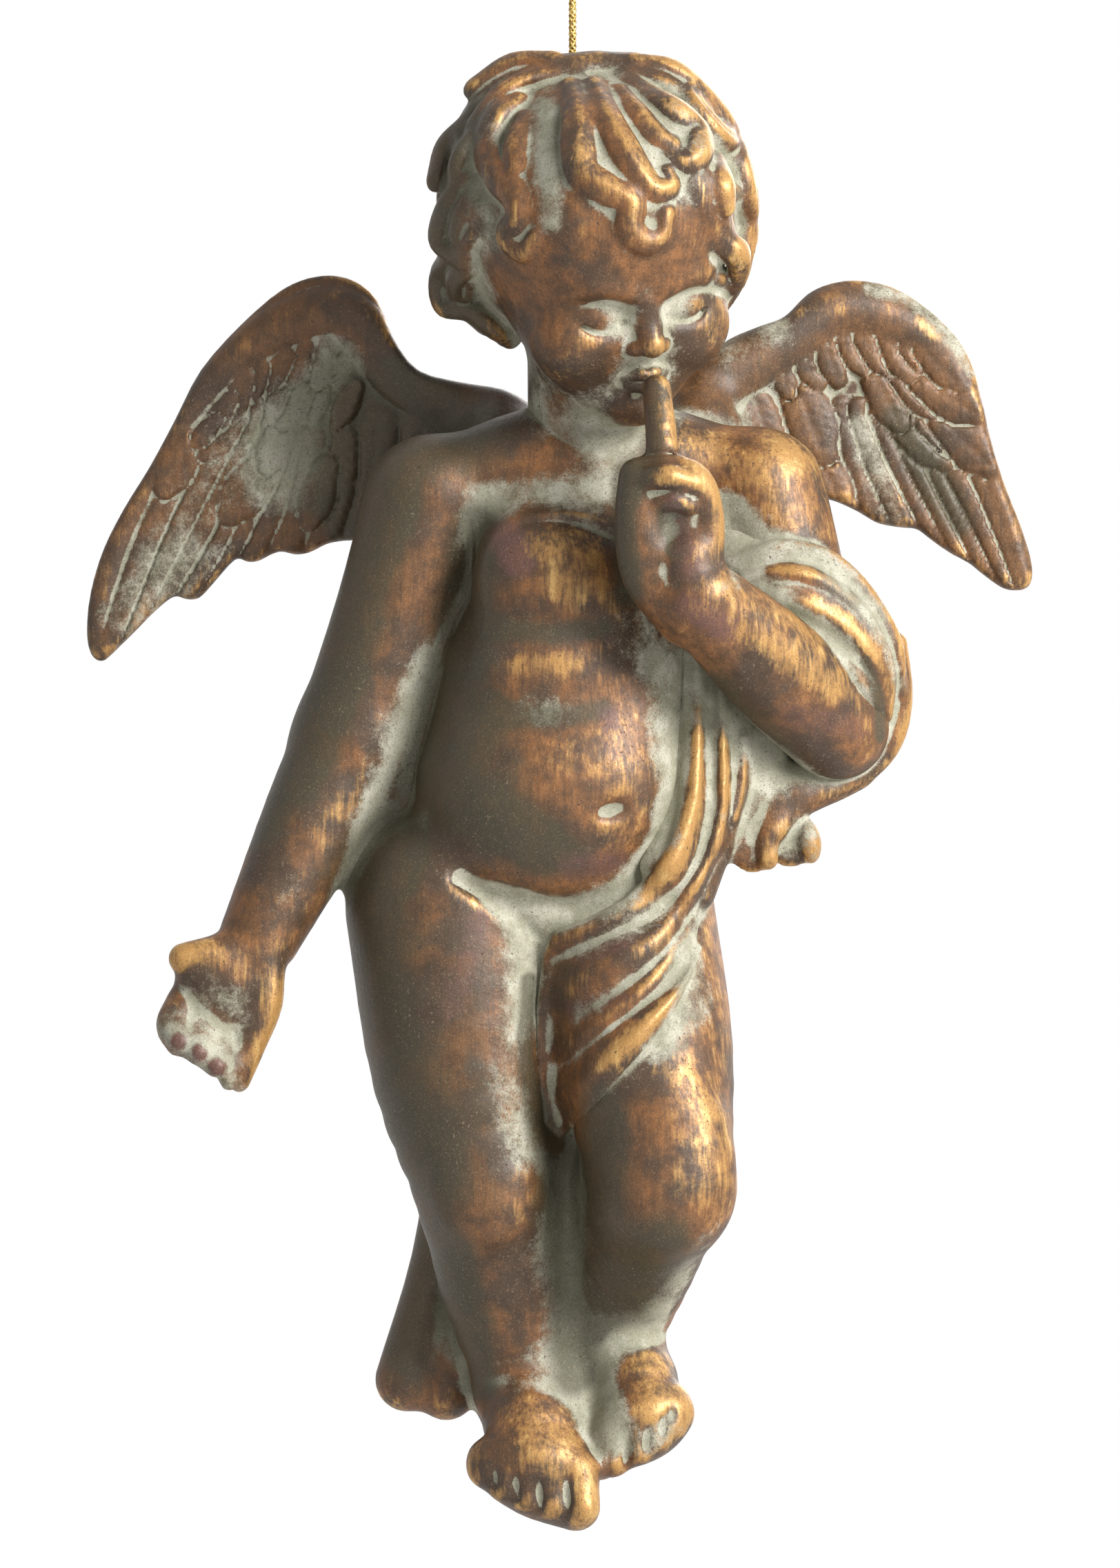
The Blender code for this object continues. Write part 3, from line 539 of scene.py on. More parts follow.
@dataclass
class Modeller:
    """Turns skins into the scene's pieces.

    Attributes:
        crown: The height of the crown in the frame, in metres.
        relief: What the figure's hollows are read from.
        brushwork: The strokes on its front.
    """

    crown: float
    relief: Relief
    brushwork: "Brushwork"

    def to_frame(self, points: np.ndarray) -> np.ndarray:
        """Carries points from the figure's millimetres to the frame's metres."""
        return points * MM + np.array((0, 0, self.crown))

    def piece(
        self, name: str, skin: Skin, material: bpy.types.Material, node: str, body: Rides = Rides.FIGURE
    ) -> bpy.types.Object:
        """Makes a piece from a skin, dresses it and puts it in a CAD node's place.

        Args:
            name: The piece's name.
            skin: Its mesh.
            material: Its finish.
            node: The CAD node that it stands for.
            body: What it moves with.

        Returns:
            The piece.
        """
        mesh = bpy.data.meshes.new(name)
        points = self.to_frame(skin.points)
        mesh.vertices.add(len(points))
        mesh.vertices.foreach_set("co", points.astype(np.float32).ravel())
        mesh.loops.add(skin.quads.size)
        mesh.loops.foreach_set("vertex_index", skin.quads.astype(np.int32).ravel())
        mesh.polygons.add(len(skin.quads))
        mesh.polygons.foreach_set("loop_start", np.arange(0, skin.quads.size, 4, dtype=np.int32))
        mesh.polygons.foreach_set("use_smooth", np.ones(len(skin.quads), bool))
        mesh.update(calc_edges=True)
        mesh.validate()
        facing = skin.normals()
        levels = self.relief.read(skin.points + 0.15 * facing)
        levels["fine"] = self._bend(skin, facing)
        levels.update(self.brushwork.levels(skin.points, facing))
        # How squarely each vertex faces the key lamp; the gold mask lays gold there, partly gilding on that side and
        # partly painted light.
        levels["painted_light_and_gilt"] = facing @ unit(np.array((0.75, -0.55, 0.4)))
        for label, values in levels.items():
            mesh.attributes.new(label, "FLOAT", "POINT").data.foreach_set("value", values.astype(np.float32))
        mesh.materials.append(material)
        obj = bpy.data.objects.new(name, mesh)
        bpy.context.collection.objects.link(obj)
        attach(obj, body.value)
        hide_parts(node)
        LOG.info("%s: %d faces", name, len(skin.quads))
        return obj

    @staticmethod
    def _bend(skin: Skin, facing: np.ndarray) -> np.ndarray:
        """How deep each vertex lies in a narrow groove, in millimetres: below nothing on narrow ridges."""
        smooth = skin.relaxed(8, 0.8)
        return np.einsum("ij,ij->i", smooth.points - skin.points, facing)


class Coat(Enum):
    """A coat laid on in strokes, and the painted level that it goes into; the shade coat is painted shade, and the gold
    coat carries painted highlights as well as gilding.
    """

    WASH = "pale"
    # Gilding, and painted highlights on the lit tops of the chest and belly.
    GOLD = "gilt"
    # Painted shade, which the figure doesn't have under other lamps: darker on the shadow side, in creases and under
    # the fist.
    DUSK = "dusk"
    PLUM = "plum"


@dataclass(frozen=True)
class Brushwork:
    """Strokes on the front of the figure, over what the hollows and crests take by themselves: the finisher's wash,
    gold and plum, painted highlights among the gold, and painted shade.

    Attributes:
        strokes: For each coat, how much a stroke lays on and its line in the front view: rows of x, z and half width.
    """

    strokes: tuple[tuple[Coat, tuple[tuple[float, tuple[Point, ...]], ...]], ...] = (
        (Coat.WASH, (
            (0.5, ((-14, -57.6, 3.0), (-7, -58.4, 3.8), (0, -58.6, 4.2))),
            (0.6, ((3, -49, 4.5), (5, -54, 4.5))),
            (-0.3, ((-14.5, -59.5, 1.4), (-16.5, -66, 1.8), (-18, -73, 2.0))),
            (0.4, ((-19, -79, 2.0), (-23, -86, 3.0), (-27, -93, 3.4), (-29, -101, 2.6))),
            (0.35, ((-8, -75.4, 1.6), (-3, -76, 1.8))),
            (0.35, ((-7, -86.6, 2.4), (-1, -87.4, 2.6))),
            (0.6, ((10.6, -80, 2.4), (11.4, -90, 2.8), (12.4, -98, 2.4), (12.6, -104, 2.0))),
            (0.5, ((-10, -111.4, 1.8), (0, -113.4, 2.0), (8, -110.4, 2.0))),
            (0.7, ((-9, -112, 3.0), (-6.8, -118, 3.2), (-7.6, -125, 3.0), (-9.4, -132, 2.8), (-8, -140, 3.2),
                  (-6.5, -147, 2.4))),
            (0.3, ((-5.6, -152, 2.0), (-4.6, -160, 2.2), (-3.4, -170, 2.6), (-1, -180, 2.2))),
            (-0.5, ((-19, -104, 2.5), (-14, -108, 2.5), (-9, -110.5, 1.8))),
            (-1.2, ((-2.6, -119, 2.6), (-3.2, -130, 2.8), (-1.8, -142, 3.0))),
            (0.5, ((28, -104.6, 2.0), (31, -101.6, 2.4))),
            (0.7, ((-11, -175.6, 1.4), (-5, -175.8, 1.5), (0, -176.8, 1.6))),
            (0.8, ((15, -118.6, 2.6), (16, -125, 4.6), (13, -130, 3.4))),
            (0.8, ((18.6, -154, 2.2), (15.5, -159, 2.6), (12, -164.5, 2.6))),
            (0.9, ((10, -167.6, 3.4), (5, -170, 4.0), (3.6, -178, 3.4), (5, -184, 2.6))),
            (0.8, ((21, -59, 2.4), (22.5, -65, 3.0), (21, -70, 2.4))),
            (0.6, ((24, -60, 2.6), (27, -62, 2.6))),
            (0.6, ((24.5, -75, 1.8), (28, -77.8, 2.2))),
            (0.6, ((14, -71, 1.8), (18, -71.4, 2.0))),
            (0.2, ((10.6, -61, 1.8), (10.8, -70, 2.2))),
            (0.6, ((-52.6, -128, 4.2), (-47, -132.4, 4.4), (-44.6, -136, 2.6))),
            (0.55, ((-49, -122.6, 4.0), (-44.6, -124.6, 5.2), (-44, -129, 4.0))),
            (0.6, ((-36.5, -109, 3.0), (-40, -116, 3.6))),
            (0.7, ((40, -29.6, 1.5), (46, -31.8, 1.7), (50.6, -36.2, 1.8), (53.2, -41, 1.2))),
            (0.6, ((38.6, -48, 2.2), (40.6, -54, 3.0), (43, -60, 2.2))),
            (0.6, ((21, -38.6, 3.4), (28, -35.4, 2.6))),
            (0.9, ((-31, -40, 4.0), (-36, -47, 6.0), (-38, -56, 5.0))),
            (0.6, ((-44, -50, 5.0), (-50, -60, 6.0), (-60, -74, 4.0))),
            (0.3, ((-8.4, -61.4, 2.0), (-16, -61, 1.6))),
            # Painted shade: takes the wash out of the shaded gap between arm and torso so that it stays dark.
            (-0.7, ((-13.2, -66, 2.2), (-15.4, -78, 2.8), (-18, -88, 3.0), (-22, -98, 2.6))),
            (0.5, ((-12, -6, 4.0), (-15, -16, 5.0), (-15, -28, 5.0))),
            (0.4, ((12, -6, 4.0), (18, -14, 5.0), (22, -24, 4.0))),
            (0.9, ((5.6, -179, 3.2), (9, -183, 3.0), (13, -180, 2.4))),
            (-1.2, ((13, -61.4, 1.9), (13.4, -65.4, 1.8))),
            (0.6, ((22, -64.6, 2.0), (30, -65.6, 2.2), (36, -69.4, 2.4), (40.4, -75, 2.0), (43, -83, 1.6))),
            (0.9, ((-3.2, -8, 2.0), (-3.2, -16, 2.4), (-2.8, -23, 2.2))),
            # Painted shade: less wash in the shaded gap beside the arm.
            (-0.4, ((-18.5, -63, 3.0), (-20, -78, 3.4))),
            (-0.9, ((-51.8, -130, 1.0), (-51.6, -130.2, 1.0))),
            (-0.9, ((-49.2, -131.4, 1.1), (-49, -131.6, 1.1))),
            (-0.9, ((-46.9, -133.2, 1.0), (-46.7, -133.4, 1.0))),
        )),
        (Coat.GOLD, (
            # Gilding and painted highlight on the lit top of the roll under the breast.
            (0.5, ((-7, -80.6, 2.4), (0, -80.8, 2.4))),
            # Painted light over the fist's cast shadow on the chest.
            (0.5, ((1.6, -62, 3.6), (3.6, -72, 4.0))),
            (-0.7, ((54.4, -47, 1.8), (57.2, -57, 1.8), (60.6, -67, 1.8))),
            (0.7, ((30.4, -43.6, 2.0), (32.8, -50, 2.2))),
            (0.6, ((24, -46, 2.0), (28.6, -52.6, 2.0))),
            # Painted highlight on the lit side of the breast, over its gilding.
            (1.0, ((-4, -66, 3.2), (-1.6, -71, 3.0))),
            # Gilding and painted highlight on the roll again.
            (0.4, ((-7, -80.4, 2.4), (-2, -80.4, 2.4))),
            # Gilding and painted highlight on the lit upper part of the belly.
            (0.6, ((-11, -95, 2.6), (-4, -93.4, 2.8), (2, -92, 3.2), (6, -95.4, 2.8))),
            (0.5, ((4, -103.6, 2.0), (8, -103, 2.2))),
            (0.35, ((3, -79, 2.8), (5, -87, 2.8))),
            (0.45, ((13.4, -133, 3.6), (15.5, -140, 4.6), (15.5, -147, 4.2))),
            (0.7, ((-8, -180, 3.4), (-4, -183, 4.4), (-1, -186, 3.0))),
            (0.6, ((8.6, -174, 3.0), (11, -177.6, 3.0))),
            (0.7, ((18, -52, 4.0), (23, -56, 4.6), (27, -62, 3.6))),
            (0.6, ((22, -77, 2.0), (29, -80.6, 2.8), (34, -83.4, 2.2))),
            (0.5, ((-29.6, -96, 2.8), (-32.5, -103, 2.8))),
            (0.35, ((-18, -55.5, 2.8), (-9, -53.4, 2.8))),
            (0.9, ((16.4, -90, 1.4), (15.6, -100, 1.7), (12.6, -107, 2.6), (9, -111, 1.8))),
            (0.6, ((19.5, -91, 1.1), (19.9, -97, 1.3))),
            (0.6, ((13, -117.6, 1.3), (9, -121.8, 1.5))),
            (0.9, ((12.6, -124.6, 1.4), (8, -128.4, 1.8), (4.4, -132, 2.2))),
            (0.5, ((0, -122, 2.4), (-1, -130, 2.4))),
            (0.5, ((26, -67.6, 1.4), (31, -68, 1.3))),
            (0.7, ((31, -72.2, 1.2), (36, -74.4, 1.3), (39.6, -79, 1.2))),
            (0.5, ((27.6, -74, 1.2), (33, -77, 1.4))),
            (0.5, ((39.4, -80, 1.2), (42, -85, 1.4), (43.2, -89, 1.2))),
            (0.7, ((20, -43, 2.4), (25, -40, 2.0))),
            (0.7, ((31.4, -33.8, 2.0), (37, -33.4, 2.2), (43, -35, 1.7))),
            (0.6, ((46.6, -34.8, 1.4), (48.4, -36.2, 1.4))),
            (0.6, ((56.6, -56, 1.4), (59.4, -64, 1.4))),
            (0.7, ((-33, -32, 1.6), (-39, -34.4, 1.8), (-45.6, -39, 1.5))),
            (0.5, ((-51, -119, 2.0), (-43, -119, 2.2), (-41, -124, 2.0))),
            (0.9, ((-47.6, -126, 1.4), (-44.6, -128, 1.4))),
            (-0.5, ((9, -30, 7.0), (9.6, -42, 5.0))),
            (-2.0, ((-53, -129, 3.0), (-49, -131.6, 3.0), (-45.6, -135, 2.6))),
        )),
        (Coat.DUSK, (
            # Painted shade: darker bands on the shadow side, in creases, between the legs and under the fist; the two
            # bands across the belly stand in for folds that the shape lacks.
            (0.8, ((-10, -75.6, 1.8), (-3, -76.4, 2.0), (4, -75.6, 1.6))),
            (0.7, ((-11, -86.4, 2.0), (-3, -87.4, 2.2), (4, -86.4, 1.8))),
            (1.0, ((-21, -42, 5.0), (-24, -53, 6.0), (-27, -62, 5.0))),
            (0.45, ((-31, -41, 4.0), (-36, -48, 6.0), (-35, -58, 6.0))),
            (0.9, ((12, -156, 4.4), (8, -164, 4.4))),
            (0.3, ((22, -42, 7.0), (34, -42, 8.0), (46, -48, 8.0), (56, -62, 5.0))),
            (0.5, ((-10, -88, 3.6), (-9, -96, 4.6), (-4, -104, 3.6))),
            (0.5, ((-22.6, -60, 3.6), (-27, -78, 3.6), (-34, -97, 3.0))),
            (0.4, ((-14, -118, 4.6), (-13, -136, 4.6), (-11, -150, 4.0))),
            (1.0, ((38.6, -80, 0.9), (40.4, -85, 1.0), (40.6, -90, 0.9))),
            (0.8, ((-15, -8, 3.6), (-17, -18, 4.0), (-17, -29, 4.0), (-13, -36, 3.6))),
            (0.6, ((43.4, -47.5, 2.2), (47.4, -54, 2.8), (51.6, -61, 2.4))),
            (1.0, ((-12.6, -62, 3.4), (-14, -72, 4.6), (-15.5, -84, 5.4), (-19, -96, 5.4), (-24, -107, 4.0))),
            (0.8, ((-14, -50, 7.0), (-24, -47, 7.0), (-28, -57, 6.0))),
            (0.9, ((-26.5, -108, 7.0), (-26, -124, 7.0), (-22, -138, 6.0), (-18.5, -150, 4.6))),
            (0.8, ((-16, -158, 4.4), (-13.4, -168, 3.8), (-12, -176, 3.0))),
            (0.8, ((4, -138, 3.4), (4, -148, 4.4), (4, -158, 4.6), (3, -166, 3.6))),
            (0.8, ((-20, -160, 5.5), (-22, -172, 5.5))),
            (0.9, ((-27, -62, 4.0), (-33, -82, 4.4), (-41, -102, 3.8))),
            (0.9, ((-13, -100, 4.0), (-6, -104, 4.6), (0, -105.6, 3.0))),
            (0.6, ((19, -83, 2.4), (28, -92.6, 2.6))),
            (1.2, ((13, -61.4, 2.2), (13.6, -65.4, 1.8))),
            (0.9, ((7, -55, 2.0), (6.8, -63, 2.0), (7.4, -71, 2.4))),
            (1.0, ((-5.8, -122, 1.2), (-6.0, -134, 1.4), (-2.0, -147, 3.6), (-0.4, -160, 4.4), (0.4, -174, 3.4))),
            (0.7, ((11.4, -45, 2.4), (10.6, -52, 2.4), (8, -58, 2.0))),
        )),
        (Coat.PLUM, (
            (0.9, ((-9, -63.6, 2.8), (-7, -67, 2.6))),
            (0.7, ((4.8, -87, 1.8), (5.4, -92, 1.6))),
            (0.6, ((0, -107, 2.8), (6, -106.6, 2.4))),
            (0.8, ((15, -73, 2.2), (20, -76, 2.4))),
            (0.5, ((29, -87, 3.0), (37, -89, 3.0))),
            (0.5, ((-12, -114, 2.8), (-16, -126, 2.4))),
            (0.6, ((7, -116.6, 1.7), (1, -118.8, 1.7))),
            (0.5, ((6, -124, 1.8), (0, -126, 2.0))),
            (1.2, ((-51.8, -130, 1.8), (-49, -131.6, 1.8), (-46.7, -133.4, 1.8))),
            (0.6, ((13, -59.2, 1.6), (15.4, -68, 2.6))),
        )),
    )

    def levels(self, points: np.ndarray, facing: np.ndarray) -> dict[str, np.ndarray]:
        """How much of each coat every vertex takes.

        Args:
            points: The vertices.
            facing: Their normals.

        Returns:
            The levels by attribute name.
        """
        result = {coat.value: np.zeros(len(points)) for coat in Coat}
        front = np.clip(0.6 - 1.6 * facing[:, 1], 0, 1)
        strokes = [(coat, *stroke) for coat, laid in self.strokes for stroke in laid]
        for coat, amount, line in strokes:
            reach = 1.6 * max(row[2] for row in line)
            low, high = np.min(line, axis=0)[:2] - reach, np.max(line, axis=0)[:2] + reach
            near = np.flatnonzero(((points[:, (0, 2)] > low) & (points[:, (0, 2)] < high)).all(axis=1))
            if len(near):
                trace = Trace.of(points[near, 0], points[near, 2], line)
                share = np.clip(1.35 - trace.away / np.maximum(trace.width, 0.1), 0, 1)
                result[coat.value][near] += amount * share * front[near]
        return result


@dataclass(frozen=True)
class Pose:
    """Landmarks of the figure: x to the viewer's right, y away from the viewer, z up from the crown."""

    head: Point = (3.2, -6.0, -21.0)
    bow: float = 28.0
    yaw: float = 20.0
    roll: float = 9.0
    skull: float = 18.6
    neck: Point = (2.5, 1.5, -53.0)
    right_shoulder: Point = (-17.5, 1.5, -57.5)
    left_shoulder: Point = (23.5, 1.5, -56.5)
    right_elbow: Point = (-28.8, 2.0, -90.0)
    right_wrist: Point = (-41.2, -4.0, -116.0)
    left_elbow: Point = (37.5, -3.0, -89.0)
    left_wrist: Point = (16.5, -20.5, -72.0)
    right_hip: Point = (-16.5, 0.0, -113.0)
    right_knee: Point = (-11.5, -3.8, -150.9)
    right_ankle: Point = (-7.3, 1.6, -176.0)
    left_hip: Point = (7.0, 0.0, -113.0)
    left_knee: Point = (11.6, -10.4, -149.7)
    left_ankle: Point = (5.6, 3.9, -170.5)

    def head_frame(self) -> Matrix:
        """The frame of the bowed and turned head."""
        turn = Matrix.Rotation(-math.radians(self.roll), 4, "Y")
        turn = turn @ Matrix.Rotation(math.radians(self.yaw), 4, "Z")
        turn = turn @ Matrix.Rotation(math.radians(self.bow), 4, "X")
        return Matrix.Translation(self.head) @ turn


def stop(point: Point, radius: float, shift: Point = (0.0, 0.0, 0.0)) -> tuple[float, ...]:
    """A limb's station at a landmark, shifted by some millimetres."""
    return (point[0] + shift[0], point[1] + shift[1], point[2] + shift[2], radius)


def midway(first: Point, second: Point, share: float) -> Point:
    """The point a share of the way from one landmark to the next."""
    return tuple(a + (b - a) * share for a, b in zip(first, second))


@dataclass
class Trunk:
    """The trunk, legs and feet, with the cloth that falls behind the calf.

    Attributes:
        pose: The figure's landmarks.
        low: The lowest corner of its clay.
        high: The highest corner of its clay.
        step: How fine the clay is.
    """

    pose: Pose
    low: Point = (-59.0, -31.0, -198.0)
    high: Point = (49.0, 21.0, -40.0)
    step: float = 0.45

    def sculpt(self) -> Clay:
        """Models the trunk, from its masses to its creases.

        Returns:
            The clay.
        """
        clay = Clay(self.low, self.high, self.step)
        self._torso(clay)
        self._legs(clay)
        self._feet(clay)
        self._fall(clay)
        self._creases(clay)
        return clay

    def _torso(self, clay: Clay) -> None:
        """The chest, the round belly and the seat."""
        pose = self.pose
        clay.press(Ball((3.5, 1.5, -67.0), (15.6, 11.6, 15.2)))
        shoulders = limb(stop(pose.right_shoulder, 6.8), stop(pose.neck, 8.2), stop(pose.left_shoulder, 6.8))
        clay.press(shoulders, 6)
        clay.press(Ball((0.5, 0.0, -82.0), (15.4, 11.8, 14.0)), 7)
        clay.press(Ball((-3.6, -3.2, -97.0), (16.2, 13.4, 12.8)), 7)
        clay.press(Ball((-5.5, 1.5, -109.5), (21.8, 12.6, 12.0)), 6)
        clay.press(Ball((-15.5, 8.0, -113.0), (11.2, 9.0, 11.2)), 4)
        clay.press(Ball((4.5, 8.0, -113.0), (10.7, 9.0, 11.2)), 4)

    def _legs(self, clay: Clay) -> None:
        """The thighs, the knees, the calves and the web that holds them together."""
        pose = self.pose
        web = limb((-4.0, 2.5, -118, 7.2), (-1.5, 2.5, -142, 6.2), (-1.0, 3.2, -160, 4.8), (-0.6, 3.5, -181, 3.4))
        clay.press(web, 2)
        right_thigh = limb(
            stop(pose.right_hip, 13.6),
            stop(midway(pose.right_hip, pose.right_knee, 0.55), 12.0, (-0.9, -0.5, 0)),
            stop(pose.right_knee, 8.7),
        )
        clay.press(right_thigh, 3)
        left_thigh = limb(
            stop(pose.left_hip, 11.8),
            stop(midway(pose.left_hip, pose.left_knee, 0.5), 11.6, (0.3, -0.5, 0)),
            stop(pose.left_knee, 9.3),
        )
        clay.press(left_thigh, 2.4)
        right_shin = limb(
            stop(pose.right_knee, 8.3),
            stop(midway(pose.right_knee, pose.right_ankle, 0.4), 8.2, (0, 2.0, 0)),
            stop(pose.right_ankle, 5.4),
        )
        clay.press(right_shin, 2.4)
        left_shin = limb(
            stop(pose.left_knee, 8.6),
            stop(midway(pose.left_knee, pose.left_ankle, 0.45), 7.6, (0, 1.5, 0)),
            stop(pose.left_ankle, 5.4),
        )
        clay.press(left_shin, 2.4)
        clay.press(limb((-7.0, 0.5, -146, 6.6), (-5.4, 1.0, -158, 6.2), (-4.8, 1.4, -168, 5.4), (-4.0, 0.5, -178, 4.6)), 3)
        clay.press(limb((7.0, -3.0, -150, 7.0), (5.0, 1.5, -163, 5.6), (4.4, 3.0, -174, 5.0)), 3)
        clay.press(limb((1.0, 3.0, -172, 4.0), (2.4, 0.0, -179, 4.2), (3.4, -3.0, -185, 3.4)), 2)
        clay.press(Ball((-11.8, -10.2, -149.5), (5.4, 2.6, 5.6)), 4)
        clay.press(Ball((13.8, -15.2, -146.4), (6.0, 3.6, 9.0)), 6)

    def _feet(self, clay: Clay) -> None:
        """The feet, which hang with their toes down."""
        heel = stop(self.pose.right_ankle, 4.8, (0, 4.0, -4.5))
        clay.press(limb(stop(self.pose.right_ankle, 5.3), heel, (-5.0, -6.5, -186.2, 3.8)), 2)
        instep = limb(stop(self.pose.right_ankle, 5.4), (-5.8, -4.4, -181.0, 6.0), (-5.0, -8.6, -186.0, 4.8))
        clay.press(instep, 2)
        clay.press(limb((-3.6, 0.4, -176.0, 4.6), (-2.6, -4.6, -181.6, 4.6), (-2.0, -8.6, -186.4, 4.0)), 2)
        clay.press(Ball((-5.0, -8.8, -185.8), (8.6, 4.6, 4.6), (35, 6, 0)), 2)
        heel = stop(self.pose.left_ankle, 4.6, (0.6, 4.0, -4.0))
        clay.press(limb(stop(self.pose.left_ankle, 5.3), heel, (9.4, -4.0, -180.8, 3.6)), 2)
        instep = limb(stop(self.pose.left_ankle, 5.2), (8.4, -1.4, -175.4, 5.6), (9.4, -5.6, -180.2, 4.6))
        clay.press(instep, 2)
        clay.press(Ball((9.4, -5.8, -180.2), (6.4, 4.4, 4.4), (35, -14, 0)), 2)
        clay.press(limb((-11.6, -7.2, -186.4, 2.2), (-6.0, -9.2, -189.8, 2.8), (0.4, -10.2, -191.6, 3.0)), 1.8)
        clay.press(limb((5.0, -6.2, -184.6, 2.8), (9.6, -7.0, -182.8, 2.6), (13.2, -5.2, -179.4, 2.4)), 1.8)
        toes = (
            ((0.9, -10.8, -187.2), (1.2, -12.4, -191.4), 2.5),
            ((-2.9, -11.2, -187.8), (-2.9, -12.2, -191.0), 1.9),
            ((-6.0, -10.8, -187.4), (-6.2, -11.6, -190.2), 1.8),
            ((-9.0, -9.8, -186.4), (-9.3, -10.6, -188.8), 1.7),
            ((-11.6, -8.2, -184.8), (-11.9, -9.0, -187.0), 1.6),
            ((5.4, -7.8, -182.4), (5.4, -8.8, -185.6), 2.2),
            ((8.6, -8.2, -181.4), (8.8, -9.2, -184.2), 1.7),
            ((10.9, -7.8, -180.2), (11.2, -8.6, -182.6), 1.55),
            ((12.6, -6.8, -178.8), (13.0, -7.6, -180.9), 1.45),
            ((13.4, -5.4, -177.2), (13.9, -6.2, -179.0), 1.4),
        )
        for root, tip, radius in toes:
            toe = limb(stop(root, radius), stop(midway(root, tip, 0.55), radius * 0.95), stop(tip, radius * 0.9))
            clay.press(toe, 1.6)
        for x, z, drop in (
            (-0.9, -187.4, 5.4), (-4.5, -187.4, 4.6), (-7.6, -186.8, 4.0), (-10.5, -185.6, 3.4),
            (7.1, -181.8, 4.6), (9.8, -180.6, 4.0), (11.9, -179.4, 3.2), (13.2, -178.0, 2.6),
        ):
            lean = 0.05 if x < 4 else -0.02
            gap = [(x + lean * drop * share, z - drop * share) for share in (0.0, 0.35, 0.7, 1.0)]
            self._crease(clay, gap, 0.6, 0.6)

    def _fall(self, clay: Clay) -> None:
        """The cloth that falls behind the right calf, in soft folds."""
        falls = (
            ((-7.0, 9.5, -122, 5.6), (-13.0, 10.5, -142, 5.4), (-17.6, 9.4, -160, 4.0), (-22.0, 7.6, -175.6, 4.3)),
            ((-2.0, 10.0, -122, 5.6), (-8.0, 11.0, -142, 5.4), (-12.0, 9.4, -160, 4.4), (-16.8, 6.6, -177.0, 4.0)),
            ((4.0, 10.0, -122, 5.6), (-1.0, 10.5, -142, 5.2), (-4.0, 9.4, -160, 4.6), (-8.6, 8.0, -178.0, 4.2)),
            ((8.0, 9.0, -122, 5.0), (5.0, 8.5, -142, 4.6), (2.0, 8.6, -158, 4.4), (-0.5, 8.0, -172.0, 4.0)),
        )
        for fall in falls:
            clay.press(limb(*fall), 1.8)

    def _creases(self, clay: Clay) -> None:
        """The breasts, the folds of fat across the belly, and the navel."""
        clay.press(limb((-1.5, -0.6, -72, 10.6), (-2.0, -1.2, -88, 10.8)), 4)
        clay.press(limb((4.6, -2.4, -70, 9.0), (5.0, -3.6, -82, 9.4), (3.6, -5.2, -94, 10.4)), 6)
        clay.press(limb((-6.5, -1.6, -82, 10.2), (-7.0, -3.0, -94, 11.4)), 6)
        clay.press(Ball((-3.6, -9.4, -68.6), (8.2, 4.6, 6.6), (0, 24, 0)), 8.0)
        clay.press(Ball((12.0, -6.0, -66.0), (7.4, 4.6, 7.0)), 5)
        clay.press(Ball((-4.8, -10.6, -81.2), (7.4, 4.2, 4.2)), 5)
        clay.press(Ball((-3.0, -10.4, -98.6), (11.4, 5.8, 9.4)), 7)
        under = ((-14.5, -108.0), (-12, -109.4), (-7, -111.4), (0, -112.6), (6, -111.0), (10, -107.6), (12.6, -103.6))
        self._crease(clay, under, 0.8, 2.4)
        self._crease(clay, ((-15.0, -108.8), (-10.5, -111.0), (-7.0, -113.8), (-4.4, -117.5)), 0.7, 2.0)
        navel = clay.front(5.6, -99.7)
        clay.cut(Ball((5.6, navel - 0.2, -99.7), (2.2, 1.3, 1.1), (0, -10, 0)), 1.4)

    @staticmethod
    def _crease(clay: Clay, path: Sequence[tuple[float, float]], radius: float, blend: float) -> None:
        """Cuts a crease along a path in the front view.

        Args:
            clay: What it is cut into.
            path: Places in the front view.
            radius: The crease's half width.
            blend: How softly its lips roll in.
        """
        rows = [(x, clay.front(x, z), z, radius) for x, z in path]
        rows[0] = (*rows[0][:3], radius * 0.3)
        rows[-1] = (*rows[-1][:3], radius * 0.3)
        clay.cut(limb(*rows), blend)


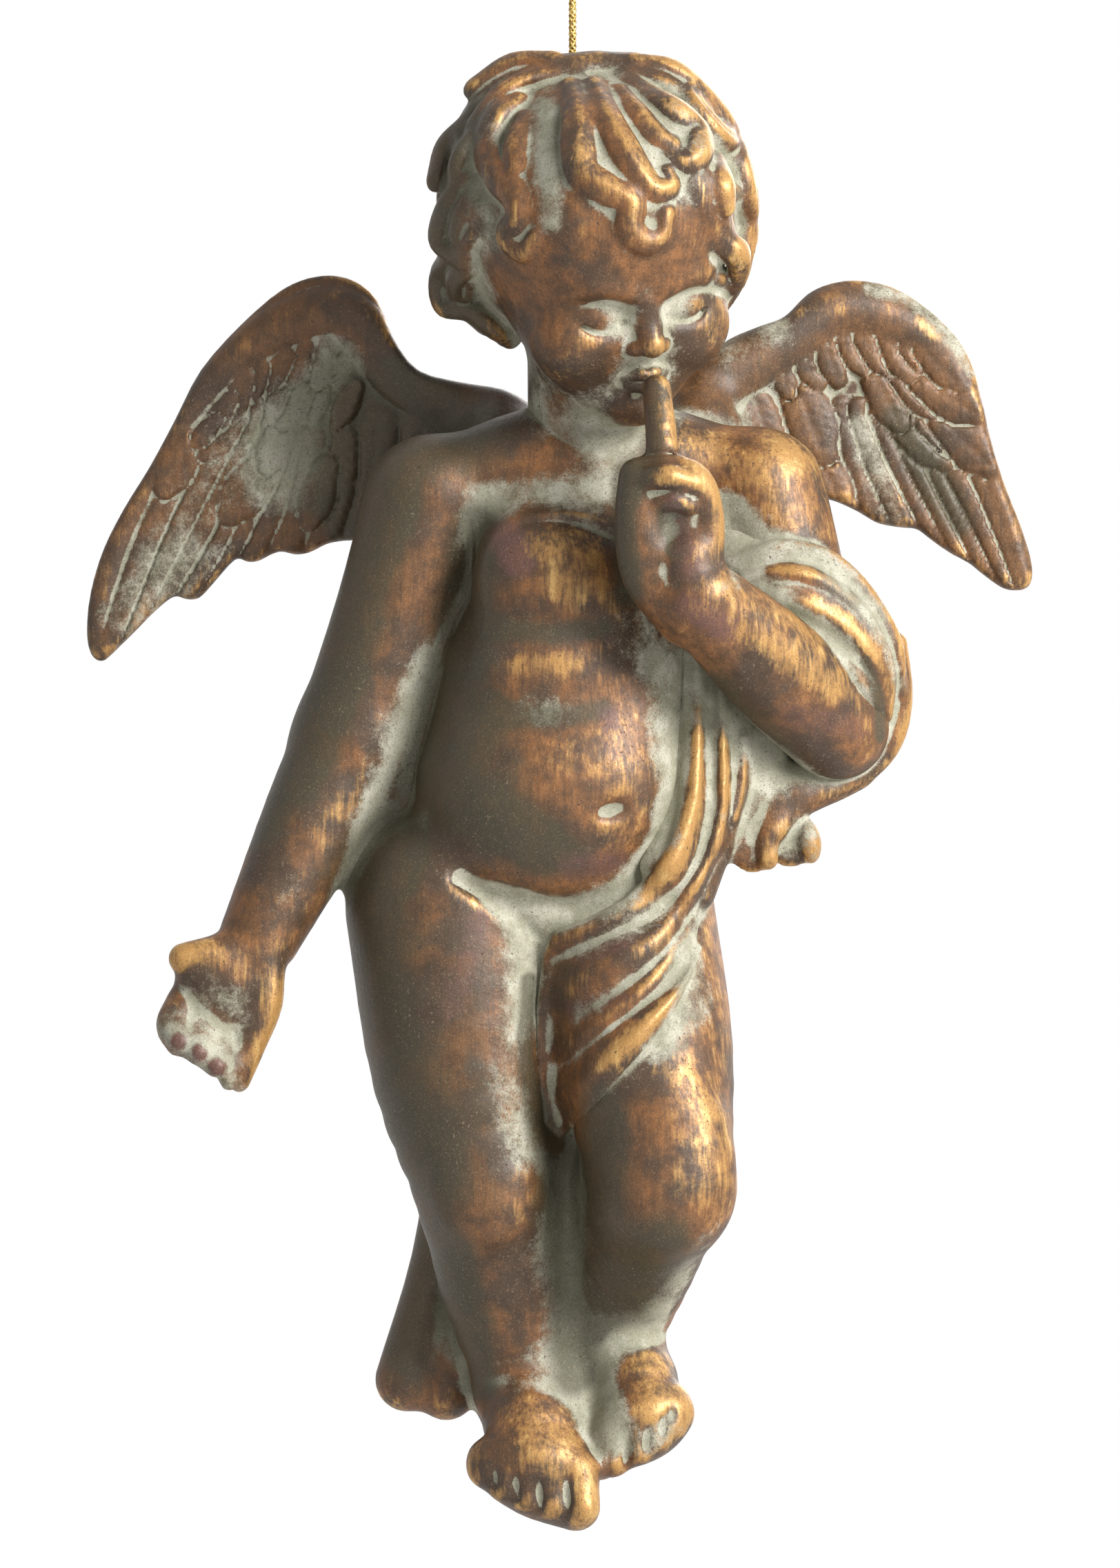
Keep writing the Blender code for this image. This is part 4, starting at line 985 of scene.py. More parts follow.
@dataclass
class Arms:
    """The hanging right arm with its open hand, and the raised left arm with a finger at the lips.

    Attributes:
        pose: The figure's landmarks.
    """

    pose: Pose

    def sculpt(self, like: Clay) -> Clay:
        """Models both arms on a lattice like the trunk's.

        Args:
            like: The trunk's clay.

        Returns:
            The clay.
        """
        clay = Clay(tuple(axis[0] for axis in like.axes), tuple(axis[-1] for axis in like.axes), like.step)
        clay.field = np.full_like(like.field, FAR)
        clay.axes = like.axes
        self._right(clay)
        self._right_hand(clay)
        self._left(clay)
        self._fist(clay)
        return clay

    def _right(self, clay: Clay) -> None:
        """The hanging arm and the web of resin that ties it to the side."""
        pose = self.pose
        upper = limb(
            stop(pose.right_shoulder, 8.6, (-1.5, 0, -1)),
            stop(midway(pose.right_shoulder, pose.right_elbow, 0.5), 7.9, (-0.6, 0, 0)),
            stop(pose.right_elbow, 8.1),
        )
        clay.press(upper)
        lower = limb(
            stop(pose.right_elbow, 7.9),
            stop(midway(pose.right_elbow, pose.right_wrist, 0.4), 7.2),
            stop(pose.right_wrist, 5.4),
        )
        clay.press(lower, 2.5)
        web = limb((-16.5, 3.0, -66, 6.2), (-19.5, 3.4, -80, 6.6), (-22.4, 3.4, -94, 6.4), (-27.4, 2.4, -107.0, 3.8))
        clay.press(web, 3)

    @staticmethod
    def _right_hand(clay: Clay) -> None:
        """The open hand, palm to the front, with its fingers curled forward."""
        clay.press(Ball((-45.8, -6.0, -124.0), (6.9, 3.8, 7.4), (0, 18, 0)), 2.5)
        clay.press(limb((-40.6, -6.4, -118.5, 2.4), (-40.6, -7.2, -125.0, 2.3), (-42.6, -7.4, -131.0, 2.0),
                        (-44.0, -7.4, -135.4, 1.5)), 1.6)
        clay.press(limb((-43.0, -6.2, -118.8, 2.9), (-48.0, -7.8, -119.0, 2.6), (-51.2, -8.6, -119.2, 2.1)), 1.8)
        clay.press(Ball((-46.8, -7.0, -121.4), (4.8, 3.0, 3.0)), 2.0)
        clay.press(limb((-52.2, -7.4, -128.0, 2.6), (-48.6, -8.4, -130.6, 2.9), (-45.4, -7.8, -133.0, 2.2)), 1.6)
        fingers = (
            ((-51.4, -6.4, -125.0, 2.3), (-52.6, -9.0, -128.0, 2.3), (-51.8, -10.8, -130.2, 1.9)),
            ((-48.8, -6.6, -127.2, 2.1), (-49.8, -9.6, -130.2, 2.1), (-49.2, -11.4, -131.6, 1.7)),
            ((-46.4, -6.6, -129.2, 2.0), (-47.4, -9.4, -132.2, 1.9), (-46.9, -11.0, -133.4, 1.5)),
            ((-44.4, -6.4, -131.2, 1.8), (-45.3, -8.6, -134.0, 1.6), (-45.2, -10.0, -135.4, 1.25)),
        )
        for finger in fingers:
            clay.press(limb(*finger), 0.7)
        for x, z in ((-50.1, -126.1), (-47.6, -128.2), (-45.4, -130.2)):
            clay.cut(limb((x + 1.0, -2.2, z + 2.6, 0.3), (x - 0.3, -3.4, z - 1.4, 0.6), (x - 1.2, -5.6, z - 4.4, 0.6)), 0.8)

    def _left(self, clay: Clay) -> None:
        """The raised arm."""
        pose = self.pose
        upper = limb(
            stop(pose.left_shoulder, 8.6, (1.5, 0, -1)),
            stop(midway(pose.left_shoulder, pose.left_elbow, 0.5), 7.6, (-1.0, 0, 0)),
            stop(pose.left_elbow, 6.4, (-2.6, 0, 0.4)),
        )
        clay.press(upper)
        lower = limb(
            stop(pose.left_elbow, 6.9, (-2.6, 0, 0.2)),
            stop(midway(pose.left_elbow, pose.left_wrist, 0.45), 7.3, (-1.0, 0, 0)),
            stop(pose.left_wrist, 5.6),
        )
        clay.press(lower, 1.2)

    @staticmethod
    def _fist(clay: Clay) -> None:
        """The loose fist, hollow to the front, with its first finger raised."""
        clay.press(Ball((11.8, -19.6, -62.6), (6.0, 5.0, 9.4), (0, -6, 0)), 2.0)
        clay.press(limb((8.4, -21.8, -56.0, 2.4), (8.2, -22.2, -62.0, 2.5), (9.4, -21.0, -69.0, 3.0),
                        (14.4, -19.4, -74.0, 3.8)), 2.0)
        clay.press(limb((12.0, -22.2, -55.0, 2.2), (16.0, -22.4, -56.8, 2.4), (17.6, -21.6, -61.4, 2.2),
                        (17.4, -21.2, -66.0, 2.4)), 1.4)
        clay.cut(Ball((13.2, -27.8, -63.2), (3.0, 4.8, 4.2), (0, -10, 0)), 1.4)
        clay.press(limb((9.0, -23.0, -56.6, 1.7), (12.2, -24.8, -56.2, 1.8), (15.6, -24.0, -57.2, 1.5)), 0.7)
        clay.press(limb((11.4, -23.8, -59.5, 1.2), (13.4, -24.4, -59.3, 1.3), (15.2, -23.8, -60.0, 1.1)), 0.6)
        clay.press(Ball((15.2, -22.6, -67.4), (3.0, 2.6, 4.0), (0, 14, 0)), 1.2)
        clay.press(limb((12.0, -21.6, -57.0, 2.4), (11.6, -21.0, -51.0, 2.1), (11.0, -18.2, -44.4, 1.9)), 1.0)
        for y, z in ((-22.8, -50.6), (-23.2, -53.2)):
            clay.cut(limb((9.4, y + 1, z, 0.25), (11.6, y - 0.4, z + 0.2, 0.35), (13.8, y + 1, z, 0.25)), 0.4)


@dataclass
class Head:
    """The bowed head: a plain, calm child's face under a cap of chunky locks.

    Attributes:
        pose: The figure's landmarks.
        low: The lowest corner of its clay.
        high: The highest corner of its clay.
        step: How fine the clay is.
        curl_rows: The rows of curls round the sides and the back: elevation, count and start.
        fullness: How full the locks are.
    """

    pose: Pose
    low: Point = (-23.0, -32.0, -60.0)
    high: Point = (31.0, 20.0, 3.0)
    step: float = 0.36
    curl_rows: tuple[tuple[float, int, float], ...] = (
        (64, 6, 10), (38, 10, 22), (12, 11, 4), (-14, 10, 18), (-37, 9, 6)
    )
    fullness: float = 1.14

    def sculpt(self) -> Clay:
        """Models the head.

        Returns:
            The clay.
        """
        clay = Clay(self.low, self.high, self.step)
        place = self.pose.head_frame()
        self._skull(clay, place)
        self._features(clay, place)
        self._forelocks(clay)
        self._curls(clay)
        return clay

    def _skull(self, clay: Clay, place: Matrix) -> None:
        """The skull, full cheeks, chin and neck."""
        skull = self.pose.skull
        clay.press(Ball((0, 0, 0), (skull * 0.95, skull * 1.03, skull * 0.97), place=place))
        clay.press(Ball((0, -7.5, -11), (12.8, 10.8, 11.8), place=place), 4)
        clay.press(Ball((0, -8.0, 3), (13.8, 10.6, 11.4), place=place), 4)
        clay.press(Ball((0, -10.0, -18.6), (8.2, 7.4, 5.6), place=place), 3)
        clay.press(Ball((0, -15.2, -20.4), (3.8, 3.2, 3.4), place=place), 2.4)
        for side in (-1, 1):
            clay.press(Ball((side * 7.6, -12.6, -11.6), (6.0, 5.6, 5.8), place=place), 3)
        under = stop(self.pose.head, 8.2, (-1, 5, -14))
        clay.press(limb(under, stop(self.pose.neck, 8.4)), 3)

    @staticmethod
    def _features(clay: Clay, place: Matrix) -> None:
        """The brows, lowered lids, nose and closed lips."""
        place = place @ Matrix.Translation((0, 0.3, -1.5))

        def placed(*rows: Sequence[float]) -> Strand:
            """A limb given in the head's own frame."""
            return limb(*((*(place @ Vector(row[:3])), row[3]) for row in rows))

        for side in (-1, 1):
            clay.cut(Ball((side * 5.8, -19.6, -5.0), (3.8, 2.4, 2.3), place=place), 2.2)
            brow = placed((side * 2.2, -18.4, -2.0, 0.9), (side * 6.4, -17.9, -0.6, 1.2), (side * 10.4, -14.6, -2.2, 0.9))
            clay.press(brow, 1.8)
            clay.press(Ball((side * 5.9, -15.6, -5.6), (3.3, 2.6, 2.5), place=place), 0.8)
            slit = placed(
                (side * 2.9, -17.5, -6.3, 0.25), (side * 5.0, -18.4, -7.3, 0.4),
                (side * 7.4, -17.8, -7.1, 0.4), (side * 9.2, -16.1, -6.0, 0.25),
            )
            clay.cut(slit, 0.45)
        clay.press(placed((0, -18.0, -3.6, 1.3), (0, -18.8, -6.6, 1.5), (0, -20.0, -9.0, 1.9)), 1.4)
        for side in (-1, 1):
            clay.press(Ball((side * 1.75, -18.9, -9.7), (1.25, 1.4, 1.15), place=place), 0.7)
            clay.cut(Ball((side * 0.95, -19.9, -10.9), (0.5, 0.8, 0.5), place=place), 0.3)
        clay.cut(placed((0, -19.3, -11.2, 0.5), (0, -19.2, -12.6, 0.7)), 0.7)
        upper = placed((-2.7, -17.7, -14.4, 0.45), (-1.0, -18.9, -13.6, 0.85), (0, -19.1, -13.8, 0.8),
                       (1.0, -18.9, -13.6, 0.85), (2.7, -17.7, -14.4, 0.45))
        clay.press(upper, 0.8)
        clay.press(placed((-2.1, -17.9, -15.3, 0.5), (0, -18.8, -15.6, 1.05), (2.1, -17.9, -15.3, 0.5)), 0.8)
        clay.cut(placed((-3.1, -18.4, -14.6, 0.2), (0, -20.1, -14.6, 0.28), (3.1, -18.4, -14.6, 0.2)), 0.4)
        clay.cut(placed((-1.6, -18.9, -17.2, 0.5), (0, -19.5, -17.3, 0.6), (1.6, -18.9, -17.2, 0.5)), 1.2)

    def _lock(self, clay: Clay, path: Sequence[Sequence[float]], sunk: float = 0.3, depth: float = 0.13) -> Strand:
        """A lock of hair laid on the head along a path in the front view.

        Args:
            clay: The head so far.
            path: Rows of x, z and half width.
            sunk: The share of its half depth that the lock sinks in.
            depth: How deep the combed grooves are.

        Returns:
            The lock.
        """
        rows = []
        for order, (x, z, width) in enumerate(path):
            full = width * self.fullness
            deep = full * 0.76
            rows.append((x, clay.front(x, z) + deep * (sunk if order else 0.9), z, full, deep))
        facing = np.array([row[:3] for row in rows]) - np.array(self.pose.head)
        return ribbon(rows, facing, 2.3, depth, 5)

    def _forelocks(self, clay: Clay) -> None:
        """The crest and the locks over the forehead and temples."""
        centre = self.pose.head
        clay.press(Ball((centre[0] - 0.6, centre[1] + 4.6, centre[2] + 1.2), (19.4, 17.4, 18.8)), 1.0)
        masses = (
            ((0.0, -2.5, 3.4), (-6.0, -4.0, 3.8), (-10.5, -7.0, 3.6), (-13.5, -11.0, 3.2)),
            ((-9.0, -9.0, 3.4), (-12.5, -14.0, 3.6), (-14.5, -19.0, 3.4), (-15.5, -24.0, 3.2)),
            ((-12.0, -22.0, 3.0), (-14.0, -27.0, 3.2), (-14.5, -31.0, 2.8), (-11.5, -34.5, 2.4)),
            ((4.0, -2.0, 3.2), (9.5, -3.0, 3.6), (14.5, -5.6, 3.6), (18.6, -9.6, 3.2), (20.8, -14.5, 2.8)),
            ((12.0, -10.0, 3.4), (15.0, -15.0, 3.2), (17.5, -20.0, 2.8), (19.5, -25.0, 2.2)),
        )
        for lock in [self._lock(clay, path, 0.6) for path in masses]:
            clay.press(lock, 1.6)
        locks = (
            ((-0.3, -4.6, 1.6), (0.9, -9.0, 2.1), (0.8, -13.0, 2.1), (1.4, -16.6, 2.0), (4.4, -18.8, 1.9), (7.4, -20.4, 1.8),
             (7.4, -23.4, 1.7), (9.0, -25.4, 1.7), (11.4, -24.8, 1.4), (12.2, -22.0, 1.1)),
            ((2.8, -4.6, 1.7), (4.2, -9.0, 2.0), (6.4, -13.0, 2.0), (8.2, -16.2, 1.9), (10.4, -18.6, 1.7), (12.6, -18.2, 1.4),
             (12.4, -16.4, 1.0)),
            ((6.8, -3.4, 1.6), (9.8, -5.8, 2.0), (13.2, -8.0, 2.1), (16.2, -10.6, 2.0), (16.6, -13.4, 1.8),
             (14.6, -15.0, 1.5),
             (12.6, -14.0, 1.1)),
            ((6.2, -5.4, 1.4), (8.4, -8.6, 1.8), (10.6, -11.4, 1.8), (13.0, -13.0, 1.4)),
            ((13.4, -4.2, 1.8), (16.8, -7.0, 2.0), (19.4, -10.4, 1.9), (20.2, -13.6, 1.6)),
            ((18.6, -14.2, 1.5), (19.6, -17.4, 1.8), (20.0, -20.4, 1.5)),
            ((-7.4, -6.6, 1.6), (-10.0, -8.6, 2.0), (-11.2, -12.4, 2.1), (-9.8, -16.4, 2.0), (-7.4, -19.4, 1.9),
             (-7.2, -22.4, 1.7),
             (-8.6, -24.6, 1.6), (-6.4, -26.6, 1.4), (-5.0, -25.0, 1.0)),
            ((-6.6, -9.0, 1.3), (-7.4, -12.4, 1.7), (-7.4, -15.6, 1.6)),
            ((-2.6, -1.6, 2.2), (-7.4, -2.4, 2.6), (-11.6, -5.2, 2.4), (-14.2, -8.8, 2.0)),
            ((8.0, -1.8, 2.2), (12.6, -3.0, 2.6), (16.6, -6.0, 2.2), (19.6, -9.6, 2.0), (20.8, -13.0, 1.6)),
            ((-13.0, -9.6, 2.2), (-15.6, -12.6, 2.4), (-16.6, -16.2, 2.2), (-14.4, -18.4, 1.8)),
            ((-13.0, -17.2, 2.0), (-15.4, -20.4, 2.3), (-16.4, -24.2, 2.2), (-14.4, -26.4, 1.7), (-12.6, -24.8, 1.3)),
            ((-13.6, -27.0, 2.0), (-16.4, -29.0, 2.3), (-16.2, -32.0, 2.1), (-13.4, -32.6, 1.8), (-12.6, -30.4, 1.4)),
            ((-13.4, -33.0, 1.8), (-10.8, -35.4, 1.9), (-8.6, -37.0, 1.5)),
            ((20.2, -16.6, 1.8), (23.2, -18.8, 2.2), (24.2, -22.2, 2.2), (22.2, -24.6, 1.8), (20.6, -22.8, 1.3)),
            ((19.8, -25.0, 1.6), (21.8, -27.0, 1.9), (21.2, -30.0, 1.7), (19.2, -29.6, 1.2)),
        )
        strands = [strand for path in locks for strand in self._parted(path)]
        for lock in [self._lock(clay, path, 0.1) for path in strands]:
            clay.press(lock, 0.6)

    @staticmethod
    def _parted(path: Sequence[Sequence[float]]) -> list[np.ndarray]:
        """Parts a thick lock into two strands that draw away from each other towards the tip.

        Args:
            path: The lock's rows of x, z and half width.

        Returns:
            The strands' rows.
        """
        rows = np.asarray(path, float)
        if rows[:, 2].max() < 2.15:
            return [rows]
        along = np.gradient(rows[:, :2], axis=0)
        side = unit(np.stack([along[:, 1], -along[:, 0]], axis=1))
        share = np.linspace(0.42, 0.72, len(rows))[:, None]
        strands = []
        for hand in (-1, 1):
            strand = rows[: len(rows) - (hand > 0)].copy()
            strand[:, :2] += hand * (side * rows[:, 2:] * share)[: len(strand)]
            strand[:, 2] *= 0.68 + 0.06 * hand
            strands.append(strand)
        return strands

    def _curls(self, clay: Clay) -> None:
        """The rows of comma curls round the sides and the back of the head."""
        centre = np.array(self.pose.head) + np.array((0, 3.2, 0.2))
        turn = 0
        for elevation, count, start in self.curl_rows:
            for index in range(count):
                turn += 1
                level = math.radians(elevation)
                around = math.radians(start + 360 * index / count)
                out = np.array((math.cos(level) * math.cos(around), math.cos(level) * math.sin(around), math.sin(level)))
                if out[1] < -0.32 or (out[2] < -0.1 and out[1] < -0.05):
                    continue
                clay.press(self._comma(centre, out, 1 if turn % 3 else -1), 0.9)
        clay.press(self._crown_swirl(), 0.6)

    def _comma(self, centre: np.ndarray, out: np.ndarray, hand: int) -> Strand:
        """One comma curl on the scalp.

        Args:
            centre: The middle of the head.
            out: The direction from the middle to the curl.
            hand: Which way it winds.

        Returns:
            The curl.
        """
        east = unit(np.cross((0.0, 0.0, 1.0), out))
        north = np.cross(out, east)
        rows = []
        for index in range(8):
            share = index / 7
            angle = math.radians(100 + 330 * share) * hand
            radius = 4.7 * (1 - 0.72 * share)
            height = self.pose.skull + 0.6 + 0.9 * share
            place = centre + out * height + (east * math.cos(angle) + north * math.sin(angle)) * radius
            width = 2.6 * (1 - 0.25 * share)
            rows.append((*place, width, width * 0.8))
        return ribbon(rows, out, 1.5, 0.25, 3)

    def _crown_swirl(self) -> Strand:
        """The flat swirl of hair at the crown that the cord rises from."""
        rows = []
        for index in range(9):
            angle = math.radians(40 * index)
            radius = 4.6 - 0.45 * index
            rows.append((0.6 + radius * math.cos(angle), -3.0 + radius * math.sin(angle), -2.6 - 0.1 * radius**2, 2.0, 1.8))
        return ribbon(rows, (0.0, 0.0, 1.0), 1.25, 0.25, 3)


@dataclass
class Sash:
    """The cloth: slung round the raised arm, hanging in a curled end, and folded across the hip.

    Attributes:
        low: The lowest corner of its clay.
        high: The highest corner of its clay.
        step: How fine the clay is.
        cloth: How thick the cloth lies on the hip.
        crests: The folds over the hip: rows of x, z and half width, and a height.
        hip_outline: The outline of the cloth over the hip, in the front view.
    """

    low: Point = (-13.0, -26.0, -147.0)
    high: Point = (49.0, 20.0, -60.0)
    step: float = 0.4
    cloth: float = 0.9
    crests: tuple[tuple[tuple[Point, ...], float], ...] = (
        (((16.6, -76, 1.0), (16.4, -93, 1.2), (15.8, -99, 1.5), (14.2, -104.5, 2.0), (11.6, -108.8, 2.4),
          (7.0, -112.2, 2.2), (2.5, -114.8, 1.9), (-4.5, -118.0, 1.6)), 1.7),
        (((19.4, -78, 0.9), (19.9, -95, 1.0), (19.6, -101, 1.1), (18.0, -107, 1.3), (15.0, -111.6, 1.6),
          (11.4, -116, 2.2), (6.0, -119, 2.7), (0.5, -122.0, 2.8), (-7.0, -126.4, 2.6)), 1.7),
        (((18.6, -109, 0.7), (16.0, -114, 0.9), (13.0, -118.6, 1.1), (9.6, -122.6, 1.3), (4.6, -126.6, 1.4),
          (-0.6, -130.6, 1.6), (-7.0, -135.0, 1.6)), 1.0),
        (((17.2, -118, 0.7), (14.6, -122.6, 1.0), (11.0, -126.4, 1.6), (6.4, -130.6, 2.2), (2.0, -134.2, 2.4),
          (-1.6, -138.0, 2.4), (-4.6, -142.0, 2.0)), 1.7),
        (((22.6, -90, 0.8), (22.4, -96, 0.9), (21.4, -101, 0.8)), 1.0),
    )
    hip_outline: tuple[tuple[float, float], ...] = (
        (14.4, -75), (23.6, -75), (24.0, -95), (22.4, -100), (21.2, -103.5), (20.2, -107), (18.6, -112), (17.4, -117),
        (15.6, -121.5), (13.4, -126), (9.4, -131), (5.0, -136), (1.2, -140.4), (-1.8, -143.4), (-3.8, -141), (-4.6, -134),
        (-4.8, -126), (-4.0, -119), (-2.6, -115.6), (2.0, -113.8), (6.5, -111.4), (10.2, -108), (12.6, -104), (14.0, -99),
        (14.6, -92),
    )

    def sculpt(self, body: Clay) -> Clay:
        """Models the cloth over the body.

        Args:
            body: The clay of the trunk, which the folds lie on.

        Returns:
            The clay.
        """
        clay = Clay(self.low, self.high, self.step)
        self._sling(clay)
        self._tail(clay)
        self._hip(clay, body)
        return clay

    @staticmethod
    def _laid(clay: Clay, path: Sequence[Sequence[float]], radius: float, lift: float) -> Strand:
        """A fold laid over the cloth so far, along a path in the front view.

        Args:
            clay: The cloth so far.
            path: Places in the front view.
            radius: The fold's radius.
            lift: How far it stands out.

        Returns:
            The fold.
        """
        rows = []
        for order, (x, z) in enumerate(path):
            end = 0.6 if order in (0, len(path) - 1) else 1.0
            rows.append((x, clay.front(x, z) - lift, z, radius * end))
        return limb(*rows)

    def _sling(self, clay: Clay) -> None:
        """The sleeve of cloth round the raised arm, its pleats, and the rim that stands off behind the elbow."""
        clay.press(limb((22.6, -1.0, -68.6, 7.8), (29.0, -2.2, -73.0, 9.2), (34.6, -1.2, -80.0, 8.7),
                        (36.4, 0.2, -87.5, 6.6)))
        pleats = (
            (((21.0, -67.4), (27.0, -65.4), (32.5, -66.2), (36.6, -69.0), (40.0, -73.4), (42.4, -78.4),
              (43.2, -84.0)), 1.5, -0.2),
            (((22.6, -69.2), (29.0, -68.6), (33.4, -70.2), (37.2, -73.2), (39.8, -77.4), (41.2, -82.0),
              (41.4, -87.0)), 1.4, -0.1),
            (((22.4, -71.2), (28.4, -72.0), (33.0, -73.8), (37.0, -76.8), (39.4, -80.2), (40.6, -84.4)), 1.3, -0.1),
            (((18.8, -69.8), (23.2, -72.8), (28.4, -76.2), (33.6, -79.4), (37.6, -82.6), (40.0, -86.0)), 1.2, 0.0),
            (((24.6, -70.2), (31.0, -71.2), (35.4, -73.8), (38.4, -77.2)), 0.7, -0.1),
        )
        for pleat in [self._laid(clay, *pleat) for pleat in pleats]:
            clay.press(pleat, 1.2)
        rim = ((43.0, -1.0, -77.5, 1.4), (43.6, -1.4, -84.0, 1.5), (42.8, -1.4, -89.4, 1.5),
               (40.2, -1.6, -93.4, 1.5), (35.4, -2.4, -96.4, 1.6), (30.4, -3.4, -97.8, 1.6))
        clay.press(limb(*rim), 1.0)
        for fold in range(4):
            drop = 6.0 * fold
            back = limb(
                (40.8, 0.5, -76.0 - 0.7 * drop, 1.9),
                (39.0, 4.8, -79.0 - 0.74 * drop, 2.4),
                (31.0, 8.8, -84.0 - 0.60 * drop, 2.8),
                (18.5, 8.6, -86.0 - 0.30 * drop, 3.0),
            )
            clay.press(back, 1.6)

    def _tail(self, clay: Clay) -> None:
        """The cloth between the flank and the elbow, and its hanging end, which rolls over at the hem."""
        under = (
            ((13.6, -4.0, -80.0, 3.2), (14.8, -5.4, -90.0, 3.6), (14.6, -7.4, -99.0, 3.4), (11.6, -10.0, -107.0, 2.8)),
            ((19.6, -3.0, -80.0, 3.8), (19.6, -4.2, -90.0, 4.2), (18.4, -5.4, -100.0, 4.0), (15.4, -7.4, -110.0, 3.6)),
            ((25.4, -1.6, -84.0, 4.0), (24.4, -2.6, -92.0, 4.0), (22.6, -3.4, -99.0, 3.0)),
            ((38.0, 2.6, -92.6, 3.0), (33.6, 0.4, -95.4, 3.0), (28.0, -1.6, -96.8, 3.4), (22.0, -2.6, -96.0, 3.8)),
            ((30.6, -1.8, -96.2, 2.4), (27.2, -4.0, -99.6, 1.9), (25.8, -5.2, -103.2, 1.7), (25.8, -5.6, -106.2, 1.4)),
            ((22.4, -3.2, -98.0, 2.8), (21.6, -4.2, -102.0, 2.2), (22.2, -4.6, -105.0, 1.7)),
        )
        for fold in under:
            clay.press(limb(*fold), 2.0)
        sheet = ribbon(
            ((24.6, -2.8, -97.5, 3.8, 1.3), (24.0, -3.8, -101.5, 3.4, 1.1), (23.8, -4.4, -105.4, 2.6, 1.0)),
            (0.0, -1.0, 0.0),
        )
        clay.press(sheet, 0.8)
        hem = ((38.0, -1.6, -95.2, 1.5), (33.0, -2.8, -97.6, 1.5), (29.2, -4.0, -99.8, 1.5), (27.0, -5.2, -102.4, 1.3))
        clay.press(limb(*hem), 1.0)
        clay.press(Ball((28.8, -2.6, -103.6), (3.4, 1.8, 3.6)), 0.8)
        clay.press(Ball((31.2, -3.4, -103.8), (1.7, 2.2, 3.0), (0, -10, 0)), 0.8)

    def _hip(self, clay: Clay, body: Clay) -> None:
        """The cloth drawn from under the arm across the hip: a low relief of folds that fan out to the inside thigh."""
        x, z = np.meshgrid(clay.axes[0], clay.axes[2], indexing="ij")
        ground = self._ground(clay, body)
        rise = np.full(x.shape, self.cloth)
        fade = np.clip((x + 6.5) / 7.0, 0.25, 1.0)
        for crest, height in self.crests:
            trace = Trace.of(x, z, crest)
            fold = self.cloth + fade * height * np.exp(-((trace.away / np.maximum(trace.width, 0.2)) ** 2))
            rise = -soft_min(-rise, -fold, 0.3)
        edge = outlined(x, z, self.hip_outline)
        y = clay.axes[1][None, :, None]
        front = (ground - rise)[:, None, :] - y
        back = y - (ground + 2.6)[:, None, :]
        slab = -soft_min(-np.maximum(front, back), -np.broadcast_to(edge[:, None, :], front.shape), 0.9)
        clay.field = soft_min(clay.field, slab.astype(np.float32), 0.5)

    @staticmethod
    def _ground(clay: Clay, body: Clay) -> np.ndarray:
        """The depth of what the cloth lies on, over the front view, with its hollows bridged.

        Args:
            clay: The cloth so far.
            body: The body.

        Returns:
            The depths over the cloth's lattice.
        """
        depths = []
        for block in (clay, body):
            inside = block.field < 0
            first = block.axes[1][inside.argmax(axis=1)]
            depths.append(np.where(inside.any(axis=1), first, 5.0))
        places = [np.clip(np.searchsorted(body.axes[i], clay.axes[i]), 0, len(body.axes[i]) - 1) for i in (0, 2)]
        ground = np.minimum(depths[0], depths[1][np.ix_(*places)])
        for _ in range(6):
            for axis in (0, 1):
                ground = (np.roll(ground, 2, axis) + np.roll(ground, 1, axis) + ground + np.roll(ground, -1, axis)
                          + np.roll(ground, -2, axis)) / 5
        return ground


@dataclass
class Trace:
    """How a patch of the front view lies to a line drawn on it.

    Attributes:
        away: The distance from the line.
        width: The line's half width at the nearest point.
        along: How far along the line that point is, in millimetres.
    """

    away: np.ndarray
    width: np.ndarray
    along: np.ndarray

    @classmethod
    def of(cls, x: np.ndarray, z: np.ndarray, rows: Sequence[Sequence[float]]) -> "Trace":
        """Measures a patch against a line.

        Args:
            x: The patch's places across.
            z: The patch's places up.
            rows: The line: rows of x, z and half width.

        Returns:
            The measures.
        """
        line = flow(rows, 5)
        trace = cls(np.full(x.shape, FAR * 4.0), np.zeros(x.shape), np.zeros(x.shape))
        passed = 0.0
        for start, end in zip(line[:-1], line[1:]):
            run = end[:2] - start[:2]
            length = max(float(np.linalg.norm(run)), 1e-6)
            share = np.clip(((x - start[0]) * run[0] + (z - start[1]) * run[1]) / length**2, 0, 1)
            away = np.hypot(x - start[0] - share * run[0], z - start[1] - share * run[1])
            closer = away < trace.away
            trace.away = np.where(closer, away, trace.away)
            trace.width = np.where(closer, start[2] + share * (end[2] - start[2]), trace.width)
            trace.along = np.where(closer, passed + share * length, trace.along)
            passed += length
        return trace


def outlined(x: np.ndarray, z: np.ndarray, corners: Sequence[tuple[float, float]]) -> np.ndarray:
    """The distance from a closed outline in the front view, negative inside it.

    Args:
        x: The patch's places across.
        z: The patch's places up.
        corners: The outline's corners in order.

    Returns:
        The distances.
    """
    away = np.full(x.shape, FAR * 4.0)
    inside = np.zeros(x.shape, bool)
    for (ax, az), (bx, bz) in zip(corners, [*corners[1:], corners[0]]):
        run = (bx - ax, bz - az)
        share = np.clip(((x - ax) * run[0] + (z - az) * run[1]) / (run[0] ** 2 + run[1] ** 2), 0, 1)
        away = np.minimum(away, np.hypot(x - ax - share * run[0], z - az - share * run[1]))
        crosses = (az > z) != (bz > z)
        inside ^= crosses & (x < ax + (z - az) / (bz - az if bz != az else 1e-9) * run[0])
    return np.where(inside, -away, away)


